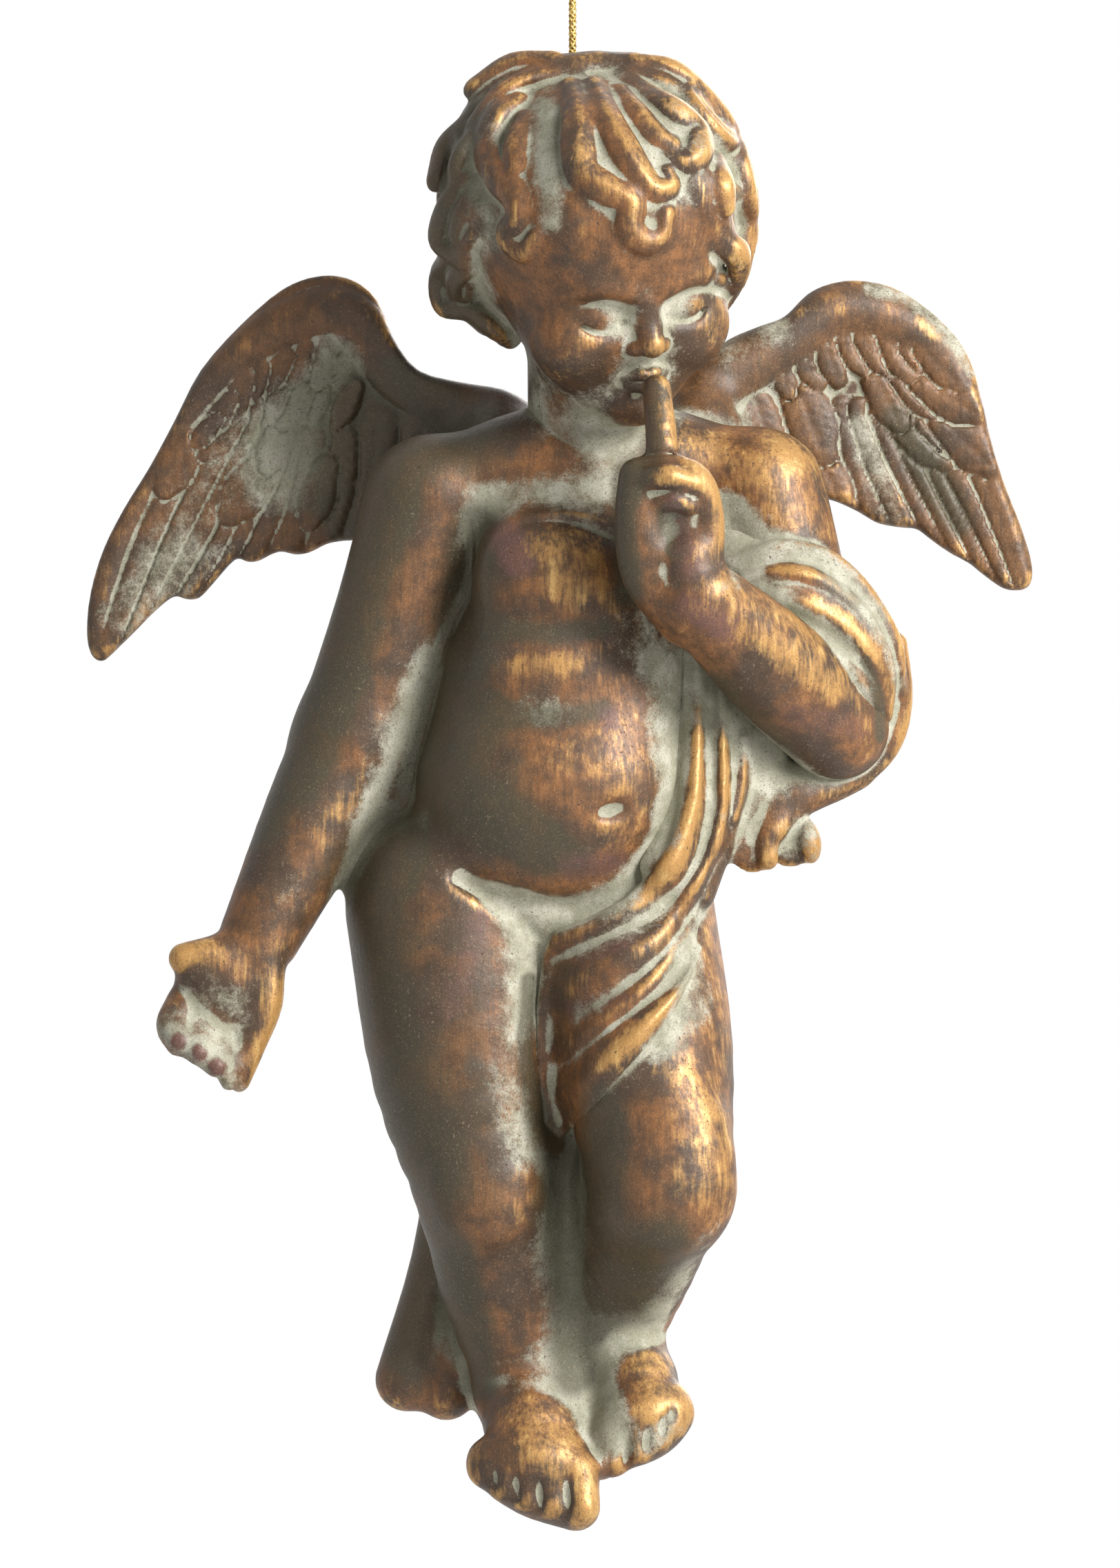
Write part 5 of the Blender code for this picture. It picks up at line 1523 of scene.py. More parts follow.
@dataclass
class Wing:
    """One wing, a low relief on a bowed sheet: a rolled leading edge, scale feathers and long grooved quills.

    Attributes:
        name: Which wing it is.
        root: Where it leaves the back.
        outline: The sheet's outline in the front view.
        roll: The rolled leading edge: rows of x, z and radius.
        coverts: Rows of scale feathers: path, count and half width.
        quills: The long feathers: root, middle and tip in the front view, and a half width.
        lean: How the scale feathers lean at the root and at the tip, in degrees outward from straight down.
        bow: How far the sheet bows back.
        bow_reach: How far out the bow runs.
        sheet: The sheet's half thickness.
        step: How fine the clay is.
    """

    name: str
    root: Point
    outline: Sequence[tuple[float, float]]
    roll: Sequence[tuple[float, float, float]]
    coverts: Sequence[tuple[Sequence[tuple[float, float]], int, float]]
    quills: Sequence[tuple[tuple[float, float], tuple[float, float], tuple[float, float], float]]
    lean: tuple[float, float] = (0.0, 46.0)
    bow: float = 5.0
    bow_reach: float = 40.0
    sheet: float = 1.0
    step: float = 0.36

    def sculpt(self) -> Clay:
        """Models the wing.

        Returns:
            The clay.
        """
        xs, zs = [corner[0] for corner in self.outline], [corner[1] for corner in self.outline]
        clay = Clay((min(xs) - 8, 1.0, min(zs) - 4), (max(xs) + 8, 26.0, max(zs) + 4), self.step)
        x, z = np.meshgrid(clay.axes[0], clay.axes[2], indexing="ij")
        middle = self.root[1] + self.bow * np.sin(np.minimum(np.abs(x - self.root[0]) / self.bow_reach, 1.3) * 1.6)
        edge = outlined(x, z, flow((*self.outline, self.outline[0]), 3)[:-1])
        y = clay.axes[1][None, :, None]
        front = (middle - self.sheet - self._relief(x, z, -1))[:, None, :] - y
        back = y - (middle + self.sheet + self._relief(x, z, 1))[:, None, :]
        slab = np.maximum(front, back)
        clay.field = -soft_min(-slab, -np.broadcast_to(edge[:, None, :], slab.shape), 1.1)
        clay.press(Ball((self.root[0], self.root[1] - 3.0, self.root[2]), (6.4, 6.2, 7.0)), 4)
        return clay

    def _relief(self, x: np.ndarray, z: np.ndarray, face: int) -> np.ndarray:
        """How far the feathers stand out of the sheet.

        Args:
            x: The patch's places across.
            z: The patch's places up.
            face: Which face of the wing it is: -1 for the front, 1 for the back.

        Returns:
            The heights.
        """
        rise = np.zeros(x.shape)
        for order, (start, middle, tip, width) in enumerate(self.quills):
            path = ((*start, width * 0.9), (*middle, width), (*tip, width * 0.75))
            rise = self._laid(rise, Trace.of(x, z, path), 0.25 + 0.22 * (order % 2), 0.45)
        for path, count, width in self.coverts:
            for feather in self._scales(path, count, width):
                rise = self._laid(rise, Trace.of(x, z, feather), 0.7, 0.5)
        trace = Trace.of(x, z, self.roll)
        round_top = np.sqrt(np.maximum(trace.width**2 - trace.away**2, 0.0)) * 0.72 - self.sheet * 0.6
        rise = -soft_min(-rise, -np.maximum(round_top, 0.0), 0.5)
        return rise if face < 0 else rise * 0.8

    @staticmethod
    def _laid(rise: np.ndarray, trace: Trace, lift: float, crown: float) -> np.ndarray:
        """Lays one feather over the others, with a shaft, barbs and a groove round it.

        Args:
            rise: The heights so far.
            trace: The feather's line.
            lift: How high its rim lies.
            crown: How much it swells.

        Returns:
            The new heights.
        """
        share = trace.away / np.maximum(trace.width, 0.1)
        height = lift + crown * (1 - np.minimum(share, 1) ** 2)
        height = height - 0.45 * np.clip((share - 0.74) / 0.26, 0, 1)
        height = height - 0.16 * np.exp(-((trace.away / 0.4) ** 2))
        height = height + 0.06 * np.sin((trace.along - trace.away * 0.9) * 2 * math.pi / 1.5)
        return np.where(share < 1, height, rise)

    def _scales(self, path: Sequence[tuple[float, float]], count: int, width: float) -> list[list[tuple[float, ...]]]:
        """A row of scale feathers that overlap like tiles.

        Args:
            path: The row's line in the front view.
            count: How many feathers it has.
            width: A feather's half width.

        Returns:
            The feathers' lines.
        """
        line = flow(path, 8)
        outward = math.copysign(1.0, self.roll[-1][0] - self.root[0])
        feathers = []
        for index in range(count):
            share = (index + 0.5) / count
            x, z = line[int(share * (len(line) - 1))]
            reach = abs(x - self.root[0]) / abs(self.roll[-1][0] - self.root[0])
            angle = math.radians(self.lean[0] + (self.lean[1] - self.lean[0]) * reach + 9 * math.sin(7.3 * index + x))
            size = width * (1 + 0.14 * math.sin(4.1 * index + z))
            down = np.array((math.sin(angle) * outward, -math.cos(angle)))
            rows = []
            for along, wide in ((-1.2, 0.75), (0.1, 1.0), (0.9, 0.95), (1.4, 0.62)):
                px, pz = np.array((x, z)) + down * along * size
                rows.append((px, pz, size * wide))
            feathers.append(rows)
        return feathers


def paint(red: int, green: int, blue: int) -> tuple[float, float, float, float]:
    """A colour from its screen values, made linear."""
    linear = []
    for value in (red, green, blue):
        share = value / 255
        linear.append(share / 12.92 if share <= 0.04045 else ((share + 0.055) / 1.055) ** 2.4)
    return (*linear, 1.0)


class Graph:
    """A short way to lay out a node tree."""

    def __init__(self, tree: bpy.types.NodeTree) -> None:
        """Takes the tree to lay nodes into."""
        self.tree = tree

    def node(self, kind: str, **settings: object) -> bpy.types.Node:
        """Adds a node and sets its properties."""
        node = self.tree.nodes.new(kind)
        for name, value in settings.items():
            setattr(node, name, value)
        return node

    def feed(self, socket: bpy.types.NodeSocket, value: object) -> None:
        """Links a socket to another, or sets its value."""
        if isinstance(value, bpy.types.NodeSocket):
            self.tree.links.new(value, socket)
        else:
            socket.default_value = value

    def math(self, operation: str, first: object, second: object = 0.0, clamp: bool = False) -> bpy.types.NodeSocket:
        """Adds a sum, product or other step between two values."""
        node = self.node("ShaderNodeMath", operation=operation, use_clamp=clamp)
        self.feed(node.inputs[0], first)
        self.feed(node.inputs[1], second)
        return node.outputs[0]

    def total(self, *parts: tuple[object, float]) -> bpy.types.NodeSocket:
        """Adds up values, each by its weight."""
        result: object = 0.0
        for value, weight in parts:
            result = self.math("ADD", result, self.math("MULTIPLY", value, weight))
        return result

    def ramp(self, value: object, low: float, high: float, soft: bool = True) -> bpy.types.NodeSocket:
        """Maps a value to nothing at one level and to one at another."""
        node = self.node("ShaderNodeMapRange", interpolation_type="SMOOTHSTEP" if soft else "LINEAR")
        self.feed(node.inputs["Value"], value)
        if low > high:
            node.inputs["From Min"].default_value = high
            node.inputs["From Max"].default_value = low
            node.inputs["To Min"].default_value = 1.0
            node.inputs["To Max"].default_value = 0.0
        else:
            node.inputs["From Min"].default_value = low
            node.inputs["From Max"].default_value = high
        return node.outputs["Result"]

    def blend(self, share: object, first: object, second: object, mode: str = "MIX") -> bpy.types.NodeSocket:
        """Mixes two colours."""
        node = self.node("ShaderNodeMix", data_type="RGBA", blend_type=mode)
        self.feed(node.inputs[0], share)
        self.feed(node.inputs[6], first)
        self.feed(node.inputs[7], second)
        return node.outputs[2]

    def tint(self, under: object, over: object, mask: object, share: float) -> bpy.types.NodeSocket:
        """Lays a colour over another where a mask says, and only so thick."""
        return self.blend(self.math("MULTIPLY", mask, share), under, over)

    def noise(self, place: object, scale: float, detail: float = 3.0, rough: float = 0.55) -> bpy.types.NodeSocket:
        """Adds a cloudy pattern."""
        node = self.node("ShaderNodeTexNoise")
        self.feed(node.inputs["Vector"], place)
        node.inputs["Scale"].default_value = scale
        node.inputs["Detail"].default_value = detail
        node.inputs["Roughness"].default_value = rough
        return node.outputs["Fac"]

    def stretched(self, place: object, scale: Point) -> bpy.types.NodeSocket:
        """Stretches the pattern's coordinates."""
        node = self.node("ShaderNodeMapping")
        self.feed(node.inputs["Vector"], place)
        node.inputs["Scale"].default_value = scale
        return node.outputs["Vector"]

    def level(self, name: str) -> bpy.types.NodeSocket:
        """Reads one of a piece's painted levels."""
        return self.node("ShaderNodeAttribute", attribute_name=name).outputs["Fac"]


SOOT = paint(60, 44, 28)
BROWN_STREAK = paint(70, 50, 34)
DARK_BRISTLE = paint(56, 42, 28)
# Painted shade, laid over the base.
PAINTED_SHADE_OLIVE = paint(66, 61, 43)
PLUM_BROWN = paint(104, 72, 66)
BRIGHT_GOLD = paint(216, 178, 112)
CHALK = paint(184, 181, 163)
# Painted shade, laid over the wash.
PAINTED_SHADE_WASH = paint(84, 82, 65)
PIT = paint(46, 36, 28)
SPARK = paint(200, 176, 146)
DARK_FLECK = paint(56, 44, 32)
LIGHT_FLECK = paint(206, 180, 140)


class PatinaGroup:
    """The antique finish, as a node group: bronze base, rubbed gold on what stands proud, pale wash in hollows, and
    painted shade and painted light from the painted levels.
    """

    NAME = "Antique patina"

    def __init__(self) -> None:
        """Builds the group."""
        self.tree = bpy.data.node_groups.new(self.NAME, "ShaderNodeTree")
        face = self.tree.interface
        for name in ("Copper", "Umber", "Gold", "Wash"):
            face.new_socket(name, in_out="INPUT", socket_type="NodeSocketColor")
        for name in ("Gilding", "Washing"):
            face.new_socket(name, in_out="INPUT", socket_type="NodeSocketFloat")
        face.new_socket("Color", in_out="OUTPUT", socket_type="NodeSocketColor")
        for name in ("Roughness", "Metallic", "Height"):
            face.new_socket(name, in_out="OUTPUT", socket_type="NodeSocketFloat")
        self._lay_out(Graph(self.tree))

    def _lay_out(self, graph: Graph) -> None:
        """Lays out the masks, then the colours and the surface."""
        given = graph.node("NodeGroupInput").outputs
        place = graph.stretched(graph.node("ShaderNodeTexCoord").outputs["Object"], (1000, 1000, 1000))
        patches = graph.noise(place, 0.10, 4.0, 0.6)
        cloud = graph.noise(place, 0.32, 4.0, 0.6)
        grain = graph.noise(place, 1.5, 3.0, 0.65)
        streaks = graph.noise(graph.stretched(place, (1.0, 1.0, 0.13)), 0.9, 3.0, 0.6)
        bristle = graph.noise(graph.stretched(place, (1.0, 1.0, 0.09)), 2.3, 2.0, 0.6)
        fleck = graph.noise(place, 4.5, 2.0, 0.6)
        crumbs = graph.math("ADD", graph.math("MULTIPLY", grain, 0.6), graph.math("MULTIPLY", fleck, 0.4))
        specks = graph.noise(place, 2.6, 1.0, 0.4)

        wash = self._wash(graph, given, patches, cloud, crumbs)
        gold = self._gold(graph, given, wash, cloud, bristle, streaks)
        base = graph.blend(graph.ramp(patches, 0.42, 0.60), given["Copper"], given["Umber"])
        base = graph.tint(base, SOOT, graph.ramp(cloud, 0.66, 0.30), 0.75)
        base = graph.tint(base, BROWN_STREAK, graph.ramp(streaks, 0.56, 0.36), 0.35)
        base = graph.tint(base, DARK_BRISTLE, graph.ramp(bristle, 0.5, 0.3), 0.4)
        # Painted shade: the base darkens to olive where the painted-shade level lies.
        dusk = graph.ramp(graph.math("ADD", graph.level("dusk"), graph.math("SUBTRACT", cloud, 0.5)), 0.15, 0.85)
        base = graph.tint(base, PAINTED_SHADE_OLIVE, dusk, 0.85)
        plum = graph.ramp(graph.math("ADD", graph.level("plum"), graph.math("SUBTRACT", grain, 0.5)), 0.2, 0.8)
        base = graph.tint(base, PLUM_BROWN, plum, 0.7)
        colour = graph.blend(gold, base, given["Gold"])
        bright = graph.math("MULTIPLY", gold, graph.ramp(streaks, 0.52, 0.72))
        colour = graph.tint(colour, BRIGHT_GOLD, bright, 0.6)
        pale = graph.blend(graph.ramp(cloud, 0.40, 0.70), given["Wash"], CHALK)
        # Painted shade darkens the wash too.
        pale = graph.tint(pale, PAINTED_SHADE_WASH, dusk, 0.85)
        colour = graph.blend(wash, colour, pale)
        dark = graph.math("MULTIPLY", graph.ramp(specks, 0.68, 0.74), graph.ramp(cloud, 0.42, 0.6))
        colour = graph.tint(colour, PIT, dark, 0.75)
        light = graph.math("MULTIPLY", graph.ramp(specks, 0.32, 0.27), graph.ramp(patches, 0.5, 0.62))
        colour = graph.tint(colour, SPARK, light, 0.25)

        colour = graph.tint(colour, DARK_FLECK, graph.ramp(fleck, 0.52, 0.34), 0.30)
        colour = graph.tint(colour, LIGHT_FLECK, graph.ramp(fleck, 0.56, 0.72), 0.16)

        metal = graph.math("ADD", graph.math("MULTIPLY", gold, 0.25), 0.10)
        metal = graph.math("MULTIPLY", metal, graph.math("SUBTRACT", 1.0, wash), True)
        rough = graph.math("ADD", 0.50, graph.math("MULTIPLY", graph.math("SUBTRACT", grain, 0.5), 0.25))
        rough = graph.math("SUBTRACT", rough, graph.math("MULTIPLY", gold, 0.06))
        rough = graph.math("ADD", rough, graph.math("MULTIPLY", wash, 0.25), True)
        height = graph.math("ADD", graph.math("MULTIPLY", grain, 0.5), graph.math("MULTIPLY", streaks, 0.35))
        height = graph.math("SUBTRACT", height, graph.math("MULTIPLY", dark, 0.8))

        result = graph.node("NodeGroupOutput").inputs
        for name, value in (("Color", colour), ("Roughness", rough), ("Metallic", metal), ("Height", height)):
            graph.feed(result[name], value)

    @staticmethod
    def _wash(graph: Graph, given: bpy.types.NodeOutputs, patches: object, cloud: object, crumbs: object) -> object:
        """The mask of the pale wash, which lies in hollows and fades out over the shapes round them."""
        total = graph.total(
            (graph.ramp(graph.level("wide"), 0.40, 0.60, False), 0.65),
            (graph.ramp(graph.level("near"), 0.50, 0.68, False), 0.6),
            (graph.ramp(graph.level("broad"), 0.38, 0.60, False), 0.3),
            (graph.ramp(graph.level("fine"), 0.03, 0.14, False), 1.0),
            (graph.level("pale"), 0.8),
            (graph.level("gilt"), -0.25),
            (graph.math("SUBTRACT", patches, 0.5), 0.9),
            (graph.math("SUBTRACT", cloud, 0.5), 0.8),
            (graph.math("SUBTRACT", crumbs, 0.5), 0.9),
            (graph.math("SUBTRACT", given["Washing"], 0.5), 1.0),
        )
        return graph.ramp(total, 0.38, 0.92)

    @staticmethod
    def _gold(
        graph: Graph, given: bpy.types.NodeOutputs, wash: object, cloud: object, bristle: object, streaks: object
    ) -> object:
        """The mask of the gold: rubbed gilding that catches on what stands proud, with painted light on what faces the
        key lamp and painted highlights from the gold strokes.
        """
        total = graph.total(
            (graph.ramp(graph.level("near"), 0.47, 0.32, False), 0.35),
            (graph.ramp(graph.level("wide"), 0.40, 0.22, False), 0.3),
            (graph.ramp(graph.level("fine"), -0.02, -0.14, False), 0.35),
            (graph.level("gilt"), 0.6),
            # Less gold where shade is painted.
            (graph.level("dusk"), -0.7),
            # Painted light: more gold on what faces the key lamp, partly gilding on that side.
            (graph.ramp(graph.level("painted_light_and_gilt"), 0.45, 1.0, False), 0.5),
            (graph.math("SUBTRACT", cloud, 0.5), 1.2),
            (graph.math("SUBTRACT", streaks, 0.5), 0.7),
            (graph.math("SUBTRACT", bristle, 0.5), 0.9),
            (graph.math("SUBTRACT", given["Gilding"], 0.5), 1.0),
        )
        mask = graph.ramp(total, 0.45, 1.15)
        return graph.math("MULTIPLY", mask, graph.math("SUBTRACT", 1.0, wash))


@dataclass(frozen=True)
class AntiqueResin:
    """A casting's finish.

    Attributes:
        name: The material's name.
        gilding: How much gold is rubbed on.
        washing: How much pale wash lies in the hollows.
        copper: The base's warmer colour.
        umber: The base's cooler colour.
        gold: The gold's colour.
        wash: The wash's colour.
    """

    name: str
    gilding: float = 0.5
    washing: float = 0.5
    copper: tuple[float, ...] = paint(142, 94, 52)
    umber: tuple[float, ...] = paint(82, 63, 47)
    gold: tuple[float, ...] = paint(180, 136, 78)
    wash: tuple[float, ...] = paint(152, 150, 129)

    def material(self, patina: PatinaGroup) -> bpy.types.Material:
        """Makes the material.

        Args:
            patina: The antique finish's node group.

        Returns:
            The material.
        """
        material = bpy.data.materials.new(self.name)
        material.use_nodes = True
        graph = Graph(material.node_tree)
        shader = material.node_tree.nodes["Principled BSDF"]
        group = graph.node("ShaderNodeGroup", node_tree=patina.tree)
        for name, value in (
            ("Copper", self.copper), ("Umber", self.umber), ("Gold", self.gold), ("Wash", self.wash),
            ("Gilding", self.gilding), ("Washing", self.washing),
        ):
            group.inputs[name].default_value = value
        for name, socket in (("Color", "Base Color"), ("Roughness", "Roughness"), ("Metallic", "Metallic")):
            graph.feed(shader.inputs[socket], group.outputs[name])
        bump = graph.node("ShaderNodeBump")
        bump.inputs["Strength"].default_value = 0.35
        bump.inputs["Distance"].default_value = 0.00035
        graph.feed(bump.inputs["Height"], group.outputs["Height"])
        graph.feed(shader.inputs["Normal"], bump.outputs["Normal"])
        return material


@dataclass(frozen=True)
class GoldThread:
    """The finish of the cord: pale metallised thread, duller in patches."""

    name: str = "Gold thread"
    bright: tuple[float, ...] = paint(226, 196, 122)
    dull: tuple[float, ...] = paint(150, 118, 58)

    def material(self) -> bpy.types.Material:
        """Makes the material."""
        material = bpy.data.materials.new(self.name)
        material.use_nodes = True
        graph = Graph(material.node_tree)
        shader = material.node_tree.nodes["Principled BSDF"]
        place = graph.stretched(graph.node("ShaderNodeTexCoord").outputs["Object"], (1000, 1000, 1000))
        glint = graph.noise(place, 2.2, 3.0, 0.6)
        fibre = graph.noise(graph.stretched(place, (5.0, 5.0, 1.2)), 1.6, 2.0, 0.5)
        graph.feed(shader.inputs["Base Color"], graph.blend(graph.ramp(glint, 0.36, 0.62), self.dull, self.bright))
        graph.feed(shader.inputs["Roughness"], graph.math("ADD", 0.24, graph.math("MULTIPLY", fibre, 0.25)))
        shader.inputs["Metallic"].default_value = 0.75
        bump = graph.node("ShaderNodeBump")
        bump.inputs["Strength"].default_value = 0.4
        bump.inputs["Distance"].default_value = 0.0001
        graph.feed(bump.inputs["Height"], fibre)
        graph.feed(shader.inputs["Normal"], bump.outputs["Normal"])
        return material


@dataclass(frozen=True)
class PinMetal:
    """The finish of the hidden dowels and pins: drawn steel, dulled by glue."""

    name: str = "Drawn pin steel"
    bare: tuple[float, ...] = paint(176, 176, 178)
    stained: tuple[float, ...] = paint(120, 108, 92)

    def material(self) -> bpy.types.Material:
        """Makes the material."""
        material = bpy.data.materials.new(self.name)
        material.use_nodes = True
        graph = Graph(material.node_tree)
        shader = material.node_tree.nodes["Principled BSDF"]
        place = graph.stretched(graph.node("ShaderNodeTexCoord").outputs["Object"], (1000, 1000, 1000))
        stain = graph.noise(place, 0.6, 4.0, 0.6)
        drawn = graph.noise(place, 4.0, 2.0, 0.5)
        graph.feed(shader.inputs["Base Color"], graph.blend(graph.ramp(stain, 0.45, 0.65), self.bare, self.stained))
        graph.feed(shader.inputs["Roughness"], graph.math("ADD", 0.25, graph.math("MULTIPLY", drawn, 0.3)))
        shader.inputs["Metallic"].default_value = 0.9
        return material


@dataclass
class BraidedCord:
    """The braided cord: a loop over the hook, a wrapped knot, and the stem into the crown.

    Attributes:
        diameter: The cord's thickness.
        strands: How many strands wind each way.
        twist: The length of one full turn of a strand.
        loop_height: How far the loop drops from its hook to the knot.
        loop_width: How wide the loop opens.
        end_spread: How far apart the loop's two ends enter the knot.
        knot_turns: The knot's turns.
        knot_pitch: How far each turn drops.
        knot_radius: The turns' radius at the cord's middle.
        stem: The length from the knot to the crown.
        gap: The slack where the stretches meet.
    """

    diameter: float = 1.0
    strands: int = 4
    twist: float = 3.2
    loop_height: float = 28.0
    loop_width: float = 14.0
    end_spread: float = 0.9
    knot_turns: int = 3
    knot_pitch: float = 1.1
    knot_radius: float = 0.95
    stem: float = 11.0
    gap: float = 0.3

    def dress(self, material: bpy.types.Material) -> None:
        """Braids the three stretches and hangs each on its body.

        Args:
            material: The thread's finish.
        """
        loop = self._loop()
        for name, path, node, body in (
            ("braided_loop", loop, "cord_loop", Rides.LOOP),
            ("wrapped_knot", self._knot(), "cord_knot", Rides.KNOT),
            ("braided_stem", self._stem(), "cord_stem", Rides.STEM),
        ):
            obj = self._braid(name, path, material)
            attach(obj, body.value)
            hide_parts(node)
            LOG.info("%s: %d faces", name, len(obj.data.polygons))

    def _loop(self) -> np.ndarray:
        """The loop's middle line: a drop whose two ends come down side by side."""
        foot = -self.loop_height + self.gap
        rise = self.diameter / 2 - foot
        turn = np.linspace(0, 2 * math.pi, 140)
        x = self.loop_width * 0.62 * np.sin(turn) * np.sin(turn / 2) + self.end_spread * np.cos(turn / 2)
        return np.stack([x, np.zeros_like(x), foot + rise * (1 - np.cos(turn)) / 2], axis=1)

    def _knot(self) -> np.ndarray:
        """The knot's middle line: turns wound round the loop's two ends."""
        turn = np.linspace(0, 2 * math.pi * self.knot_turns, 40 * self.knot_turns)
        fall = self.knot_pitch * turn / (2 * math.pi)
        top = -self.loop_height - self.diameter * 0.35
        return np.stack([self.knot_radius * np.cos(turn), self.knot_radius * np.sin(turn), top - fall], axis=1)

    def _stem(self) -> np.ndarray:
        """The stem's middle line, from the knot down into the crown."""
        top = -self.loop_height - self.knot_turns * self.knot_pitch - self.diameter * 0.2
        bottom = -(self.loop_height + self.knot_turns * self.knot_pitch + self.diameter / 2 + self.stem) - self.gap
        z = np.linspace(top, bottom, 60)
        return np.stack([np.zeros_like(z), np.zeros_like(z), z], axis=1)

    def _braid(self, name: str, path: np.ndarray, material: bpy.types.Material) -> bpy.types.Object:
        """Winds the strands over and under each other along a middle line.

        Args:
            name: The piece's name.
            path: The middle line.
            material: Its finish.

        Returns:
            The piece.
        """
        steps = np.linalg.norm(np.diff(path, axis=0), axis=1)
        along = np.concatenate([[0], np.cumsum(steps)])
        count = max(24, int(along[-1] / 0.16))
        place = np.linspace(0, along[-1], count)
        line = np.stack([np.interp(place, along, path[:, axis]) for axis in range(3)], axis=1)
        ahead = unit(np.gradient(line, axis=0))
        side = unit(np.cross(ahead, (0.05, 1.0, 0.02)))
        up = np.cross(ahead, side)
        thread = self.diameter * 0.19
        points, faces = [], []
        for hand in (-1, 1):
            for index in range(self.strands):
                angle = 2 * math.pi * (hand * place / self.twist + index / self.strands)
                weave = np.cos(2 * math.pi * place / self.twist * self.strands + math.pi * index + (hand > 0) * math.pi)
                radius = self.diameter / 2 - thread + 0.05 * self.diameter * weave
                strand = line + radius[:, None] * (np.cos(angle)[:, None] * side + np.sin(angle)[:, None] * up)
                self._tube(strand, thread, points, faces)
        mesh = bpy.data.meshes.new(name)
        mesh.from_pydata([tuple(point) for point in np.vstack(points) * MM], [], faces)
        mesh.polygons.foreach_set("use_smooth", np.ones(len(faces), bool))
        mesh.materials.append(material)
        obj = bpy.data.objects.new(name, mesh)
        bpy.context.collection.objects.link(obj)
        return obj

    @staticmethod
    def _tube(line: np.ndarray, radius: float, points: list[np.ndarray], faces: list[tuple[int, ...]]) -> None:
        """Adds one closed strand to the lists of points and faces."""
        sides = 6
        ahead = unit(np.gradient(line, axis=0))
        side = unit(np.cross(ahead, (0.3, 0.9, 0.3)))
        up = np.cross(ahead, side)
        angles = 2 * math.pi * np.arange(sides) / sides
        rings = line[:, None, :] + radius * (
            np.cos(angles)[None, :, None] * side[:, None, :] + np.sin(angles)[None, :, None] * up[:, None, :]
        )
        base = sum(len(block) for block in points)
        points.append(rings.reshape(-1, 3))
        for ring in range(len(line) - 1):
            for corner in range(sides):
                first = base + ring * sides + corner
                second = base + ring * sides + (corner + 1) % sides
                faces.append((first, second, second + sides, first + sides))
        faces.append(tuple(base + corner for corner in reversed(range(sides))))
        faces.append(tuple(base + (len(line) - 1) * sides + corner for corner in range(sides)))


